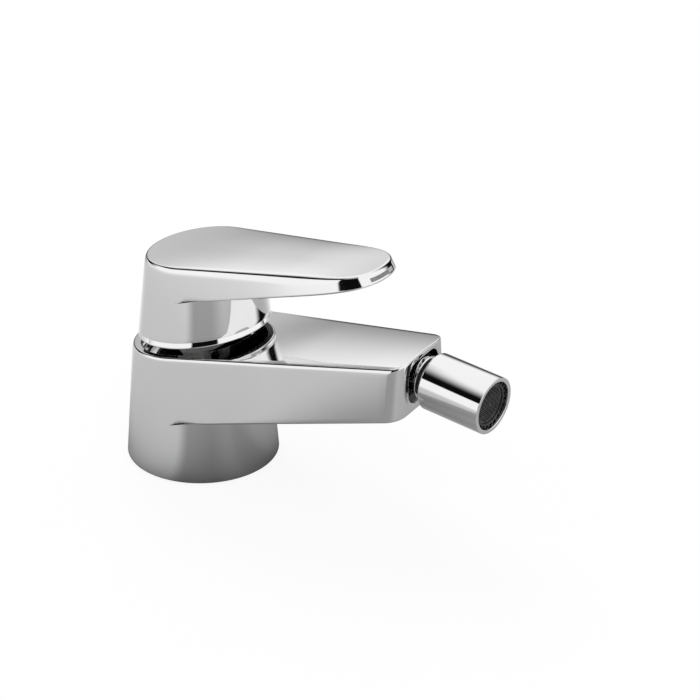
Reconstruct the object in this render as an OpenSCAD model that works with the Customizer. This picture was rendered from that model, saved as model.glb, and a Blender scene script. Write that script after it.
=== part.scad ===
// Single-lever bidet mixer with a ball-jointed nozzle.
// Origin: centre of the foot on the deck. +X along the spout, +Z up, millimetres.

/* [Column] */
// Diameter of the foot on the deck
base_d = 50; // [48:0.5:56]
// Draft of the column's wall, degrees
column_draft = 4.5; // [3:0.1:6]
// Height of the sloped top face on the column's axis
top_height = 42.45; // [40:0.5:60]
// Rise of the top face towards the spout's end, degrees
top_rise = 9.9; // [6:0.1:12]

/* [Spout] */
// Reach of the spout's end face from the column's axis
spout_reach = 83; // [76:1:98]
// Convergence of each side of the spout, degrees
spout_taper = 5.4; // [4:0.1:6]
// Height of the spout's underside, carried back to the column's axis
under_height = 18.8; // [15:0.1:19]
// Rise of the spout's underside, degrees
under_rise = 13.9; // [10:0.1:14]
// Corner radius of the spout's end, in plan
end_corner_r = 5.5; // [3:0.5:8]
// Wall of the hollow spout
spout_wall = 2.6; // [2:0.1:3.5]
// Width of the mouth in the spout's end
mouth_w = 18.6; // [16:0.2:20]
// Height of the mouth in the spout's end
mouth_h = 13.6; // [12.4:0.1:14]
// Corner radius of the mouth
mouth_corner_r = 4.6; // [3:0.1:6]
// Depth of the mouth
mouth_depth = 4; // [3:0.1:4.6]
// Wall above the mouth
mouth_wall = 1.3; // [1:0.1:1.6]

/* [Lever] */
// Height of the lever's top face above the body's top face, on the column's axis
lever_h = 30.32; // [29:0.5:36]
// Rise of the lever's top face, degrees
lever_rise = 8.2; // [6:0.1:10]
// Diameter of the lever's round head at its top face
head_d = 36.8; // [34:0.2:37]
// Distance of the head's centre in front of the column's axis
head_offset = 2.4; // [1.5:0.1:2.6]
// Draft of the head's wall, degrees
lever_draft = 6.6; // [5:0.1:6.8]
// Convergence of each side of the arm, degrees
lever_taper = 5.4; // [4:0.1:7]
// Reach of the arm's top face from the column's axis
lever_reach = 69.6; // [62:0.2:80]
// Length of the arm's rounded tip
tip_length = 20; // [14:1:26]
// How far the tip's lower edge stands out past its upper edge
tip_flare = 1.6; // [1:0.1:3]
// Height of the arm's underside above the body's top face, on the column's axis
arm_under_h = 18.05; // [16:0.5:19]
// Rise of the arm's underside, degrees
arm_under_rise = 14.9; // [13:0.1:15]
// Wall of the lever's skirt
lever_wall = 2.3; // [1.8:0.1:2.8]
// Gap between the skirt's edge and the body's top face
skirt_gap = 3.1; // [2.8:0.1:4]
// Largest lift of the lever, degrees
lift_max = 18; // [10:1:18]
// Height of the inlaid marks on the tip
mark_h = 0.9; // [0.6:0.1:1.4]
// Length of each inlaid mark
mark_length = 3; // [2:0.1:3.1]
// Depth of the inlaid marks
mark_depth = 0.8; // [0.5:0.1:1.2]

/* [Cartridge] */
// Diameter of the cartridge housing
cartridge_d = 25; // [24.6:0.1:25.4]
// Wall of the cartridge housing
housing_wall = 1.1; // [0.9:0.1:1.2]
// Radius of the round opening in the body's top face
well_r = 19.3; // [19:0.1:19.6]
// Depth of the opening down to the cover ring's seat
well_depth = 4.6; // [4.4:0.1:5.2]
// Diameter of the rotating neck
neck_d = 17.9; // [17.5:0.1:18]
// Height of the pivot pin above the body's top face
pivot_height = 8; // [7.5:0.1:9]
// Diameter of the pivot pin
pin_d = 3; // [2.4:0.1:3.4]
// Distance from the pivot pin down to the stem's ball end
drive_arm = 13; // [12.5:0.1:13]
// Thickness of each ceramic disc
disc_t = 3; // [2.5:0.1:3.5]
// Radius of the sliding disc
moving_disc_r = 7; // [6.4:0.1:7]
// Radius of the water ports
port_r = 2; // [1.6:0.1:2.2]
// Distance of the two inlet ports from the cartridge axis
port_offset = 6.2; // [6:0.1:6.6]
// Width of the square top of the lever's stem
stem_w = 7; // [6.4:0.1:7.4]

/* [Nozzle] */
// Diameter of the nozzle sleeve
nozzle_d = 18.4; // [17:0.2:19]
// Length of the nozzle sleeve
nozzle_length = 22.2; // [20:0.2:30]
// Wall of the nozzle sleeve
nozzle_wall = 1.4; // [1.1:0.1:1.8]
// Diameter of the ball
ball_d = 9.4; // [9.2:0.1:9.6]
// Distance of the ball's centre behind the spout's end face
ball_inset = 3; // [2.8:0.1:3.2]
// Distance of the ball's centre below the top face
ball_drop = 7.24; // [7.1:0.1:8]
// Distance from the ball's centre to the sleeve's back face
sleeve_start = 7.06; // [7:0.1:9]
// Diameter of the collar behind the sleeve
collar_d = 14.2; // [12:0.2:14.2]
// Thickness of the collar
collar_t = 0.55; // [0.4:0.05:0.8]
// Distance from the ball's centre to the collar's back face
collar_start = 4.35; // [4.35:0.05:5]
// Largest tip of the nozzle away from the socket's axis, degrees
nozzle_tilt_max = 9; // [8:0.5:9]
// Tip of the nozzle away from the socket's axis, degrees
nozzle_tilt = 7.6; // [0:0.1:9]
// Direction of that tip, turned about the socket's axis, degrees
nozzle_swivel = 34.1; // [0:0.1:90]
// Depth of the aerator below the sleeve's end
aerator_recess = 1; // [0.6:0.1:1.6]
// Spacing of the outlet screen's wires
screen_pitch = 1.2; // [1:0.1:1.6]
// Width of the outlet screen's wires
screen_wire = 0.4; // [0.3:0.05:0.5]

/* [Deck fixing] */
// Tapping radius of the two hose inlets
inlet_r = 4.5; // [4:0.1:4.6]
// Depth of the hose inlets
inlet_depth = 10; // [8:0.5:11]
// Distance of each hose inlet from the centre plane
inlet_offset = 8; // [7.4:0.1:8.6]
// Tapping radius of the fixing stud's hole
stud_r = 3.4; // [2.4:0.1:3.4]
// Depth of the fixing stud's hole
stud_depth = 10; // [8:0.5:11]
// Distance of the stud's hole behind the centre
stud_offset = 12.5; // [12:0.1:13]
// Distance of the gasket inside the foot's edge
gasket_inset = 3.2; // [2:0.1:4]
// Width of the gasket's ring
gasket_w = 3; // [2:0.1:4]
// Thickness of the gasket
gasket_t = 2; // [1.5:0.1:3]

/* [Fits] */
// Clearance between fixed parts that slip together
slip = 0.1; // [0.05:0.01:0.15]
// Clearance of a running fit
run = 0.05; // [0.03:0.01:0.08]
// Clearance between loose moving neighbours
loose = 0.3; // [0.2:0.05:0.4]

/* [Hidden] */
$fn = 96;
skin = 0.02;
seam = 0.06;
over = 0.5;
large = 200;
arc_steps = 8;
tip_steps = 14;

// Column and spout
base_r = base_d / 2;
function column_r(z) = base_r - z * tan(column_draft);
function top_z(x) = top_height + x * tan(top_rise);
function under_z(x) = under_height + x * tan(under_rise);
trim_margin = 3;
column_full = top_z(base_r) + trim_margin;
chamber_start = well_r + 2 * spout_wall;
crossing_r = 3.4;
gasket_out_r = base_r - gasket_inset;

// Socket of the ball joint, on a level axis
ball_r = ball_d / 2;
ball_x = spout_reach - ball_inset;
ball_z = top_z(ball_x) - ball_drop;
cup_r = ball_r + 2 * run;
socket_wall = 0.55;
socket_r = cup_r + socket_wall;
seat_r = cup_r + slip;
lip_start = -2.6;
lip_throat = 2.6;
lip_end = ball_inset;
flange_r = socket_r + socket_wall;
flange_t = 0.8;
seat_front = lip_start - 2 * slip;
seat_length = 2;
seat_back = seat_front - seat_length;
seal_section = 1;
seal_in_r = seat_r - 1.5 * seal_section;
socket_floor = seat_back - 2 * slip - seal_section;
ball_neck_r = 3.2;
water_r = 1.8;
water_way_r = 3.2;
chamber_end = ball_x + socket_floor - spout_wall;
mouth_z = top_z(spout_reach) - mouth_wall - mouth_h / 2;

// Cartridge stack, measured down its axis from the body's top face
cartridge_r = cartridge_d / 2;
bore_r = cartridge_r + 2 * slip;
housing_in_r = cartridge_r - housing_wall;
neck_r = neck_d / 2;
nut_drop = 0.4;
nut_top = -well_depth - nut_drop;
nut_lip_t = 1.6;
nut_length = 6.2;
nut_wall = 2.3;
nut_r = bore_r + slip + nut_wall;
nut_neck_gap = 1.4;
nut_lip_r = neck_r + nut_neck_gap;
nut_notches = 6;
nut_notch_w = 2.2;
nut_notch_depth = 0.9;
housing_top = nut_top - nut_lip_t;
housing_roof = 2;
flange_top = housing_top - housing_roof - slip;
guide_flange_t = 2.4;
guide_flange_r = housing_in_r - loose;
plate_top = flange_top - guide_flange_t - 2 * slip;
plate_t = 4.5;
moving_top = plate_top - plate_t;
fixed_top = moving_top - disc_t - run;
stack_base = fixed_top - disc_t;
cartridge_base_t = 3.5;
cavity_floor = stack_base - cartridge_base_t;
port_x = -cavity_floor * sin(top_rise);
window_w = 9;
window_h = 5;
seal_r = 3.6;
seal_t = 1.2;

// Cover ring
cover_t = 0.9;
cover_r = well_r - loose;
cover_neck_gap = 0.45;
cover_in_r = neck_r + cover_neck_gap;
cover_lip = 1;
cover_rise = 2.4;
cover_rim = -well_depth + cover_lip;
cover_top = cover_rim + cover_rise;

// Lever carrier
slide_max = drive_arm * sin(lift_max);
post_r = 3.4;
pocket_r = 2.5;
stem_ball_r = pocket_r - 2 * slip;
stem_ball_n = pivot_height - drive_arm;
post_rise = 1;
post_top = stem_ball_n + post_rise;
pocket_floor = stem_ball_n - stem_ball_r - over;
slot_w = 2 * post_r + 2 * slip;
slot_back = -post_r - 2 * loose;
slot_front = post_r + slide_max + loose;
fork_r = 5.2;
fork_w = 14.2;
fork_foot = 3;
stem_step = 0.3;
stem_eye_w = stem_w - 2 * stem_step;
stem_eye_r = 4.2;
stem_shaft_r = 1.8;
stem_shoulder_gap = 1;
stem_shoulder = pivot_height + fork_r + stem_shoulder_gap;
fork_slot_w = stem_eye_w + 2 * slip;
pin_r = pin_d / 2;

// Lever
lever_height = top_height + lever_h;
arm_under_height = top_height + arm_under_h;
head_top_r = head_d / 2;
function lever_z(x) = lever_height + x * tan(lever_rise);
function arm_under_z(x) = arm_under_height + x * tan(arm_under_rise);
head_top_z = lever_z(head_offset);
function head_r(z) = head_top_r + (head_top_z - z) * tan(lever_draft);
ceiling_t = 5.6;
ceiling_z = head_top_z - ceiling_t;
boss_r = 7.4;
boss_gap = 2.8;
boss_h = 9;
boss_foot = pivot_height + fork_r + boss_gap;
boss_top = boss_foot + boss_h;
socket_depth = 8.4;
stem_top = boss_foot + socket_depth - 2 * slip;
grub_rise = 4;
grub_n = boss_foot + grub_rise;
grub_r = 2;
grub_hex_r = 1.15;
grub_hex_depth = 1.5;
plug_r = 2.4;
mark_turns = [-20, -7.5];
arm_raise = 0.5;

// Nozzle, measured along its own axis from the ball's centre
collar_r = collar_d / 2;
collar_end = collar_start + collar_t;
ring_seal_inset = 1;
ring_seal_r = collar_r - ring_seal_inset;
nozzle_r = nozzle_d / 2;
nozzle_in_r = nozzle_r - nozzle_wall;
sleeve_end = sleeve_start + nozzle_length;
sleeve_back_t = 2.2;
washer_start = sleeve_start + sleeve_back_t;
washer_t = 1.5;
washer_in_r = 4.4;
insert_start = washer_start + washer_t;
insert_end = sleeve_end - aerator_recess;
insert_r = nozzle_in_r - slip;
insert_wall = 1.6;
insert_in_r = insert_r - insert_wall;
regulator_t = 2.5;
regulator_holes = 8;
regulator_hole_r = 0.7;
screen_t = 0.5;
screen_r = insert_in_r - slip / 2;
screen_rim = 0.5;
screen_gap = 3;
inner_screen_start = insert_start + regulator_t + screen_gap;
screen_ledge = 0.5;
screen_front = insert_end - screen_ledge;
bump_count = 20;
bump_r = 0.35;
bump_h = 0.3;

// Frames
module on_cartridge() {
    translate([0, 0, top_height])
        rotate([0, -top_rise, 0])
            children();
}

module on_socket() {
    translate([ball_x, 0, ball_z])
        rotate([0, 90, 0])
            children();
}

module on_nozzle() {
    translate([ball_x, 0, ball_z])
        rotate([nozzle_swivel, 0, 0])
            rotate([0, 0, -nozzle_tilt])
                rotate([0, 90, 0])
                    children();
}

// Half-space above a face that rises along X
module above(height, rise) {
    translate([0, 0, height])
        rotate([0, -rise, 0])
            translate([-large, -large, 0])
                cube(2 * large);
}

module tube(r_out, r_in, start, end) {
    translate([0, 0, start])
        difference() {
            cylinder(r = r_out, h = end - start);
            translate([0, 0, -over])
                cylinder(r = r_in, h = end - start + 2 * over);
        }
}

module rod(r, start, end) {
    translate([0, 0, start])
        cylinder(r = r, h = end - start);
}

// Half outlines on the +Y side: a side that leaves a circle on its tangent, then the end
function side_start(r, cx, taper) = [cx + r * sin(taper), r * cos(taper)];
function side_y(r, cx, taper, x) = (r + cx * sin(taper) - x * sin(taper)) / cos(taper);
function corner_end(r, cx, taper, end_x, corner) =
    let (corner_x = end_x - corner)
    let (corner_y = side_y(r - corner, cx, taper, corner_x))
    [for (i = [arc_steps : -1 : 0])
        let (a = (90 - taper) * i / arc_steps)
        [corner_x + corner * cos(a), corner_y + corner * sin(a)]];
function round_end(r, cx, taper, end_x, length) =
    let (start_x = end_x - length)
    let (start_y = side_y(r, cx, taper, start_x))
    [for (i = [0 : tip_steps])
        let (a = 90 * i / tip_steps)
        [start_x + length * sin(a), start_y * cos(a)]];
function mirrored(half) = [for (i = [len(half) - 1 : -1 : 0]) [half[i][0], -half[i][1]]];
function closed(half) = concat(half, mirrored(half));

// A thin sheet of that outline, laid on a face that rises along X
module sheet(half, height, rise) {
    multmatrix([
        [1, 0, 0, 0],
        [0, 1, 0, 0],
        [tan(rise), 0, 1, height],
        [0, 0, 0, 1]
    ])
        linear_extrude(skin)
            polygon(closed(half));
}

module spout_block() {
    high_r = column_r(top_height + trim_margin) - seam;
    low_r = column_r(under_height) - seam;
    hull() {
        sheet(
            concat([side_start(high_r, 0, spout_taper)],
                   corner_end(high_r, 0, spout_taper, spout_reach, end_corner_r)),
            top_height + trim_margin, top_rise);
        sheet(
            concat([side_start(low_r, 0, spout_taper)],
                   corner_end(low_r, 0, spout_taper, spout_reach, end_corner_r)),
            under_height, under_rise);
    }
}

module chamber_section(x) {
    half_w = side_y(column_r(top_height), 0, spout_taper, x) - spout_wall;
    low = under_z(x) + spout_wall;
    high = top_z(x) - spout_wall;
    translate([x, -half_w, low])
        cube([skin, 2 * half_w, high - low]);
}

module spout_chamber() {
    hull() {
        chamber_section(chamber_start);
        chamber_section(chamber_end);
    }
}

module mouth() {
    half_w = mouth_w / 2 - mouth_corner_r;
    half_h = mouth_h / 2 - mouth_corner_r;
    translate([spout_reach, 0, mouth_z])
        rotate([0, 90 - top_rise, 0])
            translate([0, 0, -mouth_depth])
                linear_extrude(2 * mouth_depth)
                    hull()
                        for (u = [-1, 1], v = [-1, 1])
                            translate([u * half_h, v * half_w])
                                circle(r = mouth_corner_r, $fn = 32);
}

// Straight passage from the cartridge's cavity into the hollow spout
module crossing() {
    crossing_z = under_z(chamber_start) + spout_wall + crossing_r + over;
    translate([bore_r / 2, 0, crossing_z])
        rotate([0, 90, 0])
            cylinder(r = crossing_r, h = chamber_start - bore_r / 2 + over);
}

// Drillings from the inlets up to the cartridge's ports
module inlet_drillings() {
    floor_z = top_height + cavity_floor * cos(top_rise);
    for (side = [-1, 1])
        translate([port_x, side * port_offset, inlet_depth - over])
            cylinder(r = port_r, h = floor_z - inlet_depth + port_r + over);
}

module inlet_bores() {
    for (side = [-1, 1])
        translate([port_x, side * inlet_offset, -over])
            cylinder(r = inlet_r, h = inlet_depth + over);
}

module mixer_body() {
    color("silver")
        difference() {
            union() {
                cylinder(r1 = base_r, r2 = column_r(column_full), h = column_full);
                spout_block();
            }
            above(top_height, top_rise);
            on_cartridge() {
                rod(well_r, -well_depth, over);
                rod(nut_r + slip, nut_top - nut_length - over, over);
                rod(bore_r, cavity_floor, over);
            }
            spout_chamber();
            crossing();
            mouth();
            on_socket() {
                rod(socket_r + slip, lip_start - slip, lip_end);
                rod(seat_r + run, socket_floor, lip_end);
                rod(water_way_r, socket_floor - 2 * spout_wall, lip_end);
            }
            inlet_bores();
            inlet_drillings();
            translate([-stud_offset, 0, -over])
                cylinder(r = stud_r, h = stud_depth + over);
            tube(gasket_out_r + slip, gasket_out_r - gasket_w - slip, -over, gasket_t);
        }
}

module base_gasket() {
    color("dimgray")
        tube(gasket_out_r, gasket_out_r - gasket_w, 0, gasket_t);
}

module ports(start, end) {
    for (side = [-1, 1])
        translate([0, side * port_offset, 0])
            rod(port_r, start - over, end + over);
}

module cartridge_base() {
    color("whitesmoke")
        on_cartridge()
            difference() {
                rod(cartridge_r, cavity_floor, stack_base);
                ports(cavity_floor, stack_base);
                for (side = [-1, 1])
                    translate([0, side * port_offset, 0])
                        rod(seal_r, cavity_floor - over, cavity_floor + seal_t);
            }
}

module port_seals() {
    color("black")
        on_cartridge()
            for (side = [-1, 1])
                translate([0, side * port_offset, 0])
                    tube(seal_r - slip, port_r + slip, cavity_floor, cavity_floor + seal_t);
}

module fixed_disc() {
    color("ivory")
        on_cartridge()
            difference() {
                rod(housing_in_r - slip, stack_base, fixed_top);
                ports(stack_base, fixed_top);
            }
}

module cartridge_housing() {
    color("gainsboro")
        on_cartridge()
            difference() {
                rod(cartridge_r, stack_base, housing_top);
                rod(housing_in_r, stack_base - over, housing_top - housing_roof);
                rod(neck_r + run, stack_base, housing_top + over);
                translate([0, -window_w / 2, fixed_top + 2 * slip])
                    cube([large, window_w, window_h]);
            }
}

module retaining_nut() {
    color("goldenrod")
        on_cartridge()
            difference() {
                rod(nut_r, nut_top - nut_length, nut_top);
                rod(bore_r + slip, nut_top - nut_length - over, housing_top);
                rod(nut_lip_r, nut_top - nut_length, nut_top + over);
                for (i = [0 : nut_notches - 1])
                    rotate(i * 360 / nut_notches)
                        translate([nut_lip_r - over, -nut_notch_w / 2, nut_top - nut_notch_depth])
                            cube([nut_r, nut_notch_w, nut_notch_depth + over]);
            }
}

module cover_ring() {
    color("silver")
        on_cartridge()
            rotate_extrude()
                polygon([
                    [cover_in_r, cover_top - cover_t],
                    [cover_in_r, cover_top],
                    [cover_r, cover_rim],
                    [cover_r, -well_depth],
                    [cover_r - cover_t, -well_depth],
                    [cover_r - cover_t, cover_rim - cover_t]
                ]);
}

module socket_ring() {
    throat_r = sqrt(cup_r * cup_r - lip_throat * lip_throat);
    mouth_r = (ball_neck_r + lip_end * sin(nozzle_tilt_max)) / cos(nozzle_tilt_max) + 2 * loose;
    color("silver")
        on_socket()
            difference() {
                union() {
                    rod(socket_r, lip_start, lip_end);
                    rod(flange_r, lip_end - flange_t, lip_end);
                }
                rod(cup_r, lip_start - over, 0);
                sphere(r = cup_r);
                translate([0, 0, lip_throat])
                    cylinder(r1 = throat_r, r2 = mouth_r, h = lip_end - lip_throat);
                rod(mouth_r, lip_end - skin, lip_end + over);
            }
}

module socket_seal() {
    color("black")
        on_socket()
            tube(seat_r, seal_in_r, socket_floor, socket_floor + seal_section);
}

module slot_body(width, start, end, from, to) {
    translate([start, -width / 2, from])
        cube([end - start, width, to - from]);
}

module lever_guide() {
    color("white")
        on_cartridge()
            difference() {
                union() {
                    rod(guide_flange_r, flange_top - guide_flange_t, flange_top);
                    rod(neck_r, flange_top - over, fork_foot);
                    slot_body(fork_w, -fork_r, fork_r, fork_foot - over, pivot_height);
                    translate([0, fork_w / 2, pivot_height])
                        rotate([90, 0, 0])
                            cylinder(r = fork_r, h = fork_w);
                }
                slot_body(slot_w, slot_back, slot_front, flange_top - guide_flange_t - over, fork_foot);
                slot_body(fork_slot_w, -large, large, fork_foot, large);
                translate([0, fork_w, pivot_height])
                    rotate([90, 0, 0])
                        cylinder(r = pin_r + run / 2, h = 2 * fork_w);
            }
}

module pivot_pin() {
    color("lightgray")
        on_cartridge()
            translate([0, fork_w / 2, pivot_height])
                rotate([90, 0, 0])
                    cylinder(r = pin_r, h = fork_w);
}

module lever_head(inset, top) {
    foot_z = top_height;
    translate([head_offset, 0, foot_z])
        cylinder(r1 = head_r(foot_z) - inset, r2 = head_r(top) - inset, h = top - foot_z);
}

module arm_block() {
    tip_h = lever_z(lever_reach) - arm_under_z(lever_reach);
    high_r = head_r(head_top_z + arm_raise) - seam;
    high_reach = lever_reach - arm_raise * tip_flare / tip_h;
    low_r = head_r(arm_under_z(head_offset)) - seam;
    low_reach = lever_reach + tip_flare;
    hull() {
        sheet(
            concat([side_start(high_r, head_offset, lever_taper)],
                   round_end(high_r, head_offset, lever_taper, high_reach, tip_length)),
            lever_height + arm_raise, lever_rise);
        sheet(
            concat([side_start(low_r, head_offset, lever_taper)],
                   round_end(low_r, head_offset, lever_taper, low_reach, tip_length + tip_flare)),
            arm_under_height, arm_under_rise);
    }
}

// Block that cuts a mark's shallow pocket in the tip's face, halfway down it
module mark_box(turn, clear) {
    mid_r = (head_r(head_top_z) + head_r(arm_under_z(head_offset))) / 2;
    tip_x = lever_reach - tip_length;
    tip_l = tip_length + tip_flare / 2;
    half_y = side_y(mid_r, head_offset, lever_taper, tip_x);
    place = [tip_x + tip_l * cos(turn), half_y * sin(turn)];
    mid_z = (lever_z(place[0]) + arm_under_z(place[0])) / 2;
    length = mark_length - 2 * clear;
    height = mark_h - 2 * clear;
    translate([place[0], place[1], mid_z])
        rotate([0, 0, atan2(tip_l * sin(turn), half_y * cos(turn))])
            translate([-mark_depth, -length / 2, -height / 2])
                cube([large, length, height]);
}

module grub_path(r, start, end) {
    on_cartridge()
        translate([start, 0, grub_n])
            rotate([0, 90, 0])
                cylinder(r = r, h = end - start);
}

module lever_handle() {
    color("silver")
        difference() {
            union() {
                difference() {
                    union() {
                        lever_head(0, head_top_z + 2 * trim_margin);
                        arm_block();
                    }
                    lever_head(lever_wall, ceiling_z);
                }
                on_cartridge()
                    rod(boss_r, boss_foot, boss_top);
            }
            above(lever_height, lever_rise);
            on_cartridge() {
                translate([0, 0, -large + skirt_gap])
                    cube(2 * large, center = true);
                slot_body(stem_w + 2 * slip, -stem_w / 2 - slip, stem_w / 2 + slip, boss_foot - over,
                          boss_foot + socket_depth);
            }
            grub_path(grub_r + run, -boss_r - over, 0);
            grub_path(plug_r + run, -large, -boss_r - over);
            for (turn = mark_turns)
                mark_box(turn, 0);
        }
}

module lever_stem() {
    color("lightgray")
        on_cartridge() {
            difference() {
                union() {
                    slot_body(stem_w, -stem_w / 2, stem_w / 2, stem_shoulder, stem_top);
                    slot_body(stem_eye_w, -stem_w / 2, stem_w / 2, pivot_height, stem_shoulder);
                    translate([0, stem_eye_w / 2, pivot_height])
                        rotate([90, 0, 0])
                            cylinder(r = stem_eye_r, h = stem_eye_w);
                    rod(stem_shaft_r, stem_ball_n, pivot_height);
                    translate([0, 0, stem_ball_n])
                        sphere(r = stem_ball_r);
                }
                translate([0, stem_w, pivot_height])
                    rotate([90, 0, 0])
                        cylinder(r = pin_r + run, h = 2 * stem_w);
            }
        }
}

module grub_screw() {
    color("dimgray")
        difference() {
            grub_path(grub_r, -boss_r, -stem_w / 2);
            on_cartridge()
                translate([-boss_r - over, 0, grub_n])
                    rotate([0, 90, 0])
                        cylinder(r = grub_hex_r, h = grub_hex_depth + over, $fn = 6);
        }
}

module screw_plug() {
    color("gray")
        difference() {
            intersection() {
                lever_head(0, head_top_z);
                grub_path(plug_r, -large, -boss_r);
            }
            lever_head(lever_wall, ceiling_z);
        }
}

module warm_mark() {
    color("dimgray")
        intersection() {
            arm_block();
            mark_box(mark_turns[0], run);
        }
}

module cool_mark() {
    color("gray")
        intersection() {
            arm_block();
            mark_box(mark_turns[1], run);
        }
}

module disc_carrier() {
    color("white")
        on_cartridge()
            difference() {
                union() {
                    rod(moving_disc_r, moving_top, plate_top);
                    rod(post_r, plate_top - over, post_top);
                }
                rod(pocket_r, pocket_floor, post_top + over);
            }
}

module moving_disc() {
    channel_depth = disc_t / 2;
    color("ivory")
        on_cartridge()
            difference() {
                rod(moving_disc_r, moving_top - disc_t, moving_top);
                translate([0, 0, moving_top - disc_t - over])
                    linear_extrude(channel_depth + over)
                        square([port_r * 2, moving_disc_r], center = true);
            }
}

module ball_seat() {
    color("white")
        on_socket()
            difference() {
                rod(seat_r, seat_back, seat_front);
                sphere(r = cup_r);
                rod(water_r + 2 * loose, seat_back - over, seat_front + over);
            }
}

module swivel_ball() {
    color("silver")
        on_nozzle()
            difference() {
                union() {
                    sphere(r = ball_r);
                    rod(ball_neck_r, 0, washer_start);
                }
                rod(water_r, -ball_d, washer_start + over);
            }
}

module nozzle_collar() {
    color("silver")
        on_nozzle()
            tube(collar_r, ball_neck_r + run, collar_start, collar_end);
}

module collar_seal() {
    color("black")
        on_nozzle()
            tube(ring_seal_r, ball_neck_r + run, collar_end, sleeve_start);
}

module nozzle_sleeve() {
    color("silver")
        on_nozzle()
            difference() {
                rod(nozzle_r, sleeve_start, sleeve_end);
                rod(ball_neck_r + run, sleeve_start - over, sleeve_end);
                rod(nozzle_in_r, washer_start, sleeve_end + over);
            }
}

module aerator_washer() {
    color("black")
        on_nozzle()
            tube(insert_r, washer_in_r, washer_start, insert_start);
}

module flow_regulator() {
    color("white")
        on_nozzle()
            difference() {
                rod(screen_r, insert_start, insert_start + regulator_t);
                for (i = [0 : regulator_holes - 1])
                    rotate(i * 360 / regulator_holes)
                        translate([screen_r / 2, 0, 0])
                            rod(regulator_hole_r, insert_start - over, insert_start + regulator_t + over);
            }
}

module aerator_housing() {
    rim_r = (insert_r + insert_in_r) / 2;
    color("black")
        on_nozzle() {
            tube(insert_r, insert_in_r, insert_start, insert_end);
            for (i = [0 : bump_count - 1])
                rotate(i * 360 / bump_count)
                    translate([rim_r, 0, 0])
                        rod(bump_r, insert_end - skin, insert_end + bump_h);
        }
}

module screen(start) {
    wires = floor(screen_r / screen_pitch);
    on_nozzle()
        translate([0, 0, start - screen_t])
            linear_extrude(screen_t) {
                difference() {
                    circle(r = screen_r);
                    circle(r = screen_r - screen_rim);
                }
                intersection() {
                    circle(r = screen_r - screen_rim / 2);
                    union()
                        for (i = [-wires : wires]) {
                            translate([i * screen_pitch, 0])
                                square([screen_wire, 2 * screen_r], center = true);
                            translate([0, i * screen_pitch])
                                square([2 * screen_r, screen_wire], center = true);
                        }
                }
            }
}

module inner_screen() {
    color("lightgray")
        screen(inner_screen_start);
}

module outlet_screen() {
    color("black")
        screen(screen_front);
}

mixer_body();
base_gasket();
cartridge_base();
port_seals();
fixed_disc();
cartridge_housing();
retaining_nut();
cover_ring();
socket_ring();
socket_seal();
lever_guide();
pivot_pin();
lever_handle();
lever_stem();
grub_screw();
screw_plug();
warm_mark();
cool_mark();
disc_carrier();
moving_disc();
ball_seat();
swivel_ball();
nozzle_collar();
collar_seal();
nozzle_sleeve();
aerator_washer();
flow_regulator();
aerator_housing();
inner_screen();
outlet_screen();
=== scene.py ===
"""Looks of a single-lever bidet mixer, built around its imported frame.

Sizes in the classes are millimetres in the part's own frame: the origin is the centre of the foot on the
deck, +X runs along the spout and +Z is up. They become metres when a mesh is made.
"""

import logging
import math
from dataclasses import dataclass, field
from enum import Enum
from typing import Any, Dict, List, Optional, Sequence, Tuple, Union

import bmesh
import bpy
import numpy as np
from mathutils import Matrix, Vector

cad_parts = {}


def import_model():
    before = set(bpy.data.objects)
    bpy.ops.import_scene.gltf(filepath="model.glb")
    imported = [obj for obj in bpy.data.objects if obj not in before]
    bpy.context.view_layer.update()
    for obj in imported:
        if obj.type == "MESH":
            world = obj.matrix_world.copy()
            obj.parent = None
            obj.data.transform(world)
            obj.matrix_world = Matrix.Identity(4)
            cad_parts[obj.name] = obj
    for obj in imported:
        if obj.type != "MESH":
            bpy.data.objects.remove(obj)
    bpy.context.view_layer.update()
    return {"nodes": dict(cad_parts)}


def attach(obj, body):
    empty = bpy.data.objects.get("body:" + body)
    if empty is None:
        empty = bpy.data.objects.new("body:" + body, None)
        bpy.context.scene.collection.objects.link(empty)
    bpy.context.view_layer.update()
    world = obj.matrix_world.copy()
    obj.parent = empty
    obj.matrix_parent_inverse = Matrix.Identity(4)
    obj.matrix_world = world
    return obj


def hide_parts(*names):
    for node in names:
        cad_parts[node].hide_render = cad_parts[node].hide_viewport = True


LOG = logging.getLogger("bidet_mixer")
# One millimetre, in metres.
MM = 0.001
# Points that lie nearer than this, in metres, are joined.
MERGE_DISTANCE = 2e-7
# Edges that turn by more than this are shaded sharp.
SMOOTH_ANGLE = math.radians(34)
# A radius, in millimetres, that leaves an edge sharp.
SHARP = 1e-9
# The small run, in millimetres, by which a slope or a wall is felt for.
PROBE = 0.02
# The least half width, in millimetres, that a crown is laid across.
CROWN_WIDTH = 1.0
Number = Union[float, int]
Pair = Tuple[float, float]
Colour = Tuple[float, float, float]
Point = Tuple[float, float, float]
BLACK: Colour = (0.0, 0.0, 0.0)
WHITE: Colour = (1.0, 1.0, 1.0)


def grey(level: float) -> Colour:
    """A plain grey."""
    return (level, level, level)


class Body(str, Enum):
    """Bodies of the frame that the pieces ride on."""

    FIXED = "body"
    LEVER = "lever"
    NOZZLE = "nozzle"


class EndShape(Enum):
    """How a teardrop block ends, seen from above."""

    ROUND_CORNERS = "round corners"
    ROUND_TIP = "round tip"


def smooth_step(value: np.ndarray, low: float, high: float) -> np.ndarray:
    """Eases from 0 at low to 1 at high.

    Args:
        value: Where to read the step.
        low: Value at which the step starts.
        high: Value at which the step is complete.

    Returns:
        The step, from 0 to 1.
    """
    share = np.clip((value - low) / (high - low), 0, 1)
    return share * share * (3 - 2 * share)


def unit(rows: np.ndarray) -> np.ndarray:
    """Rows of vectors, each scaled to length 1."""
    return rows / np.linalg.norm(rows, axis=-1, keepdims=True)


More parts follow.
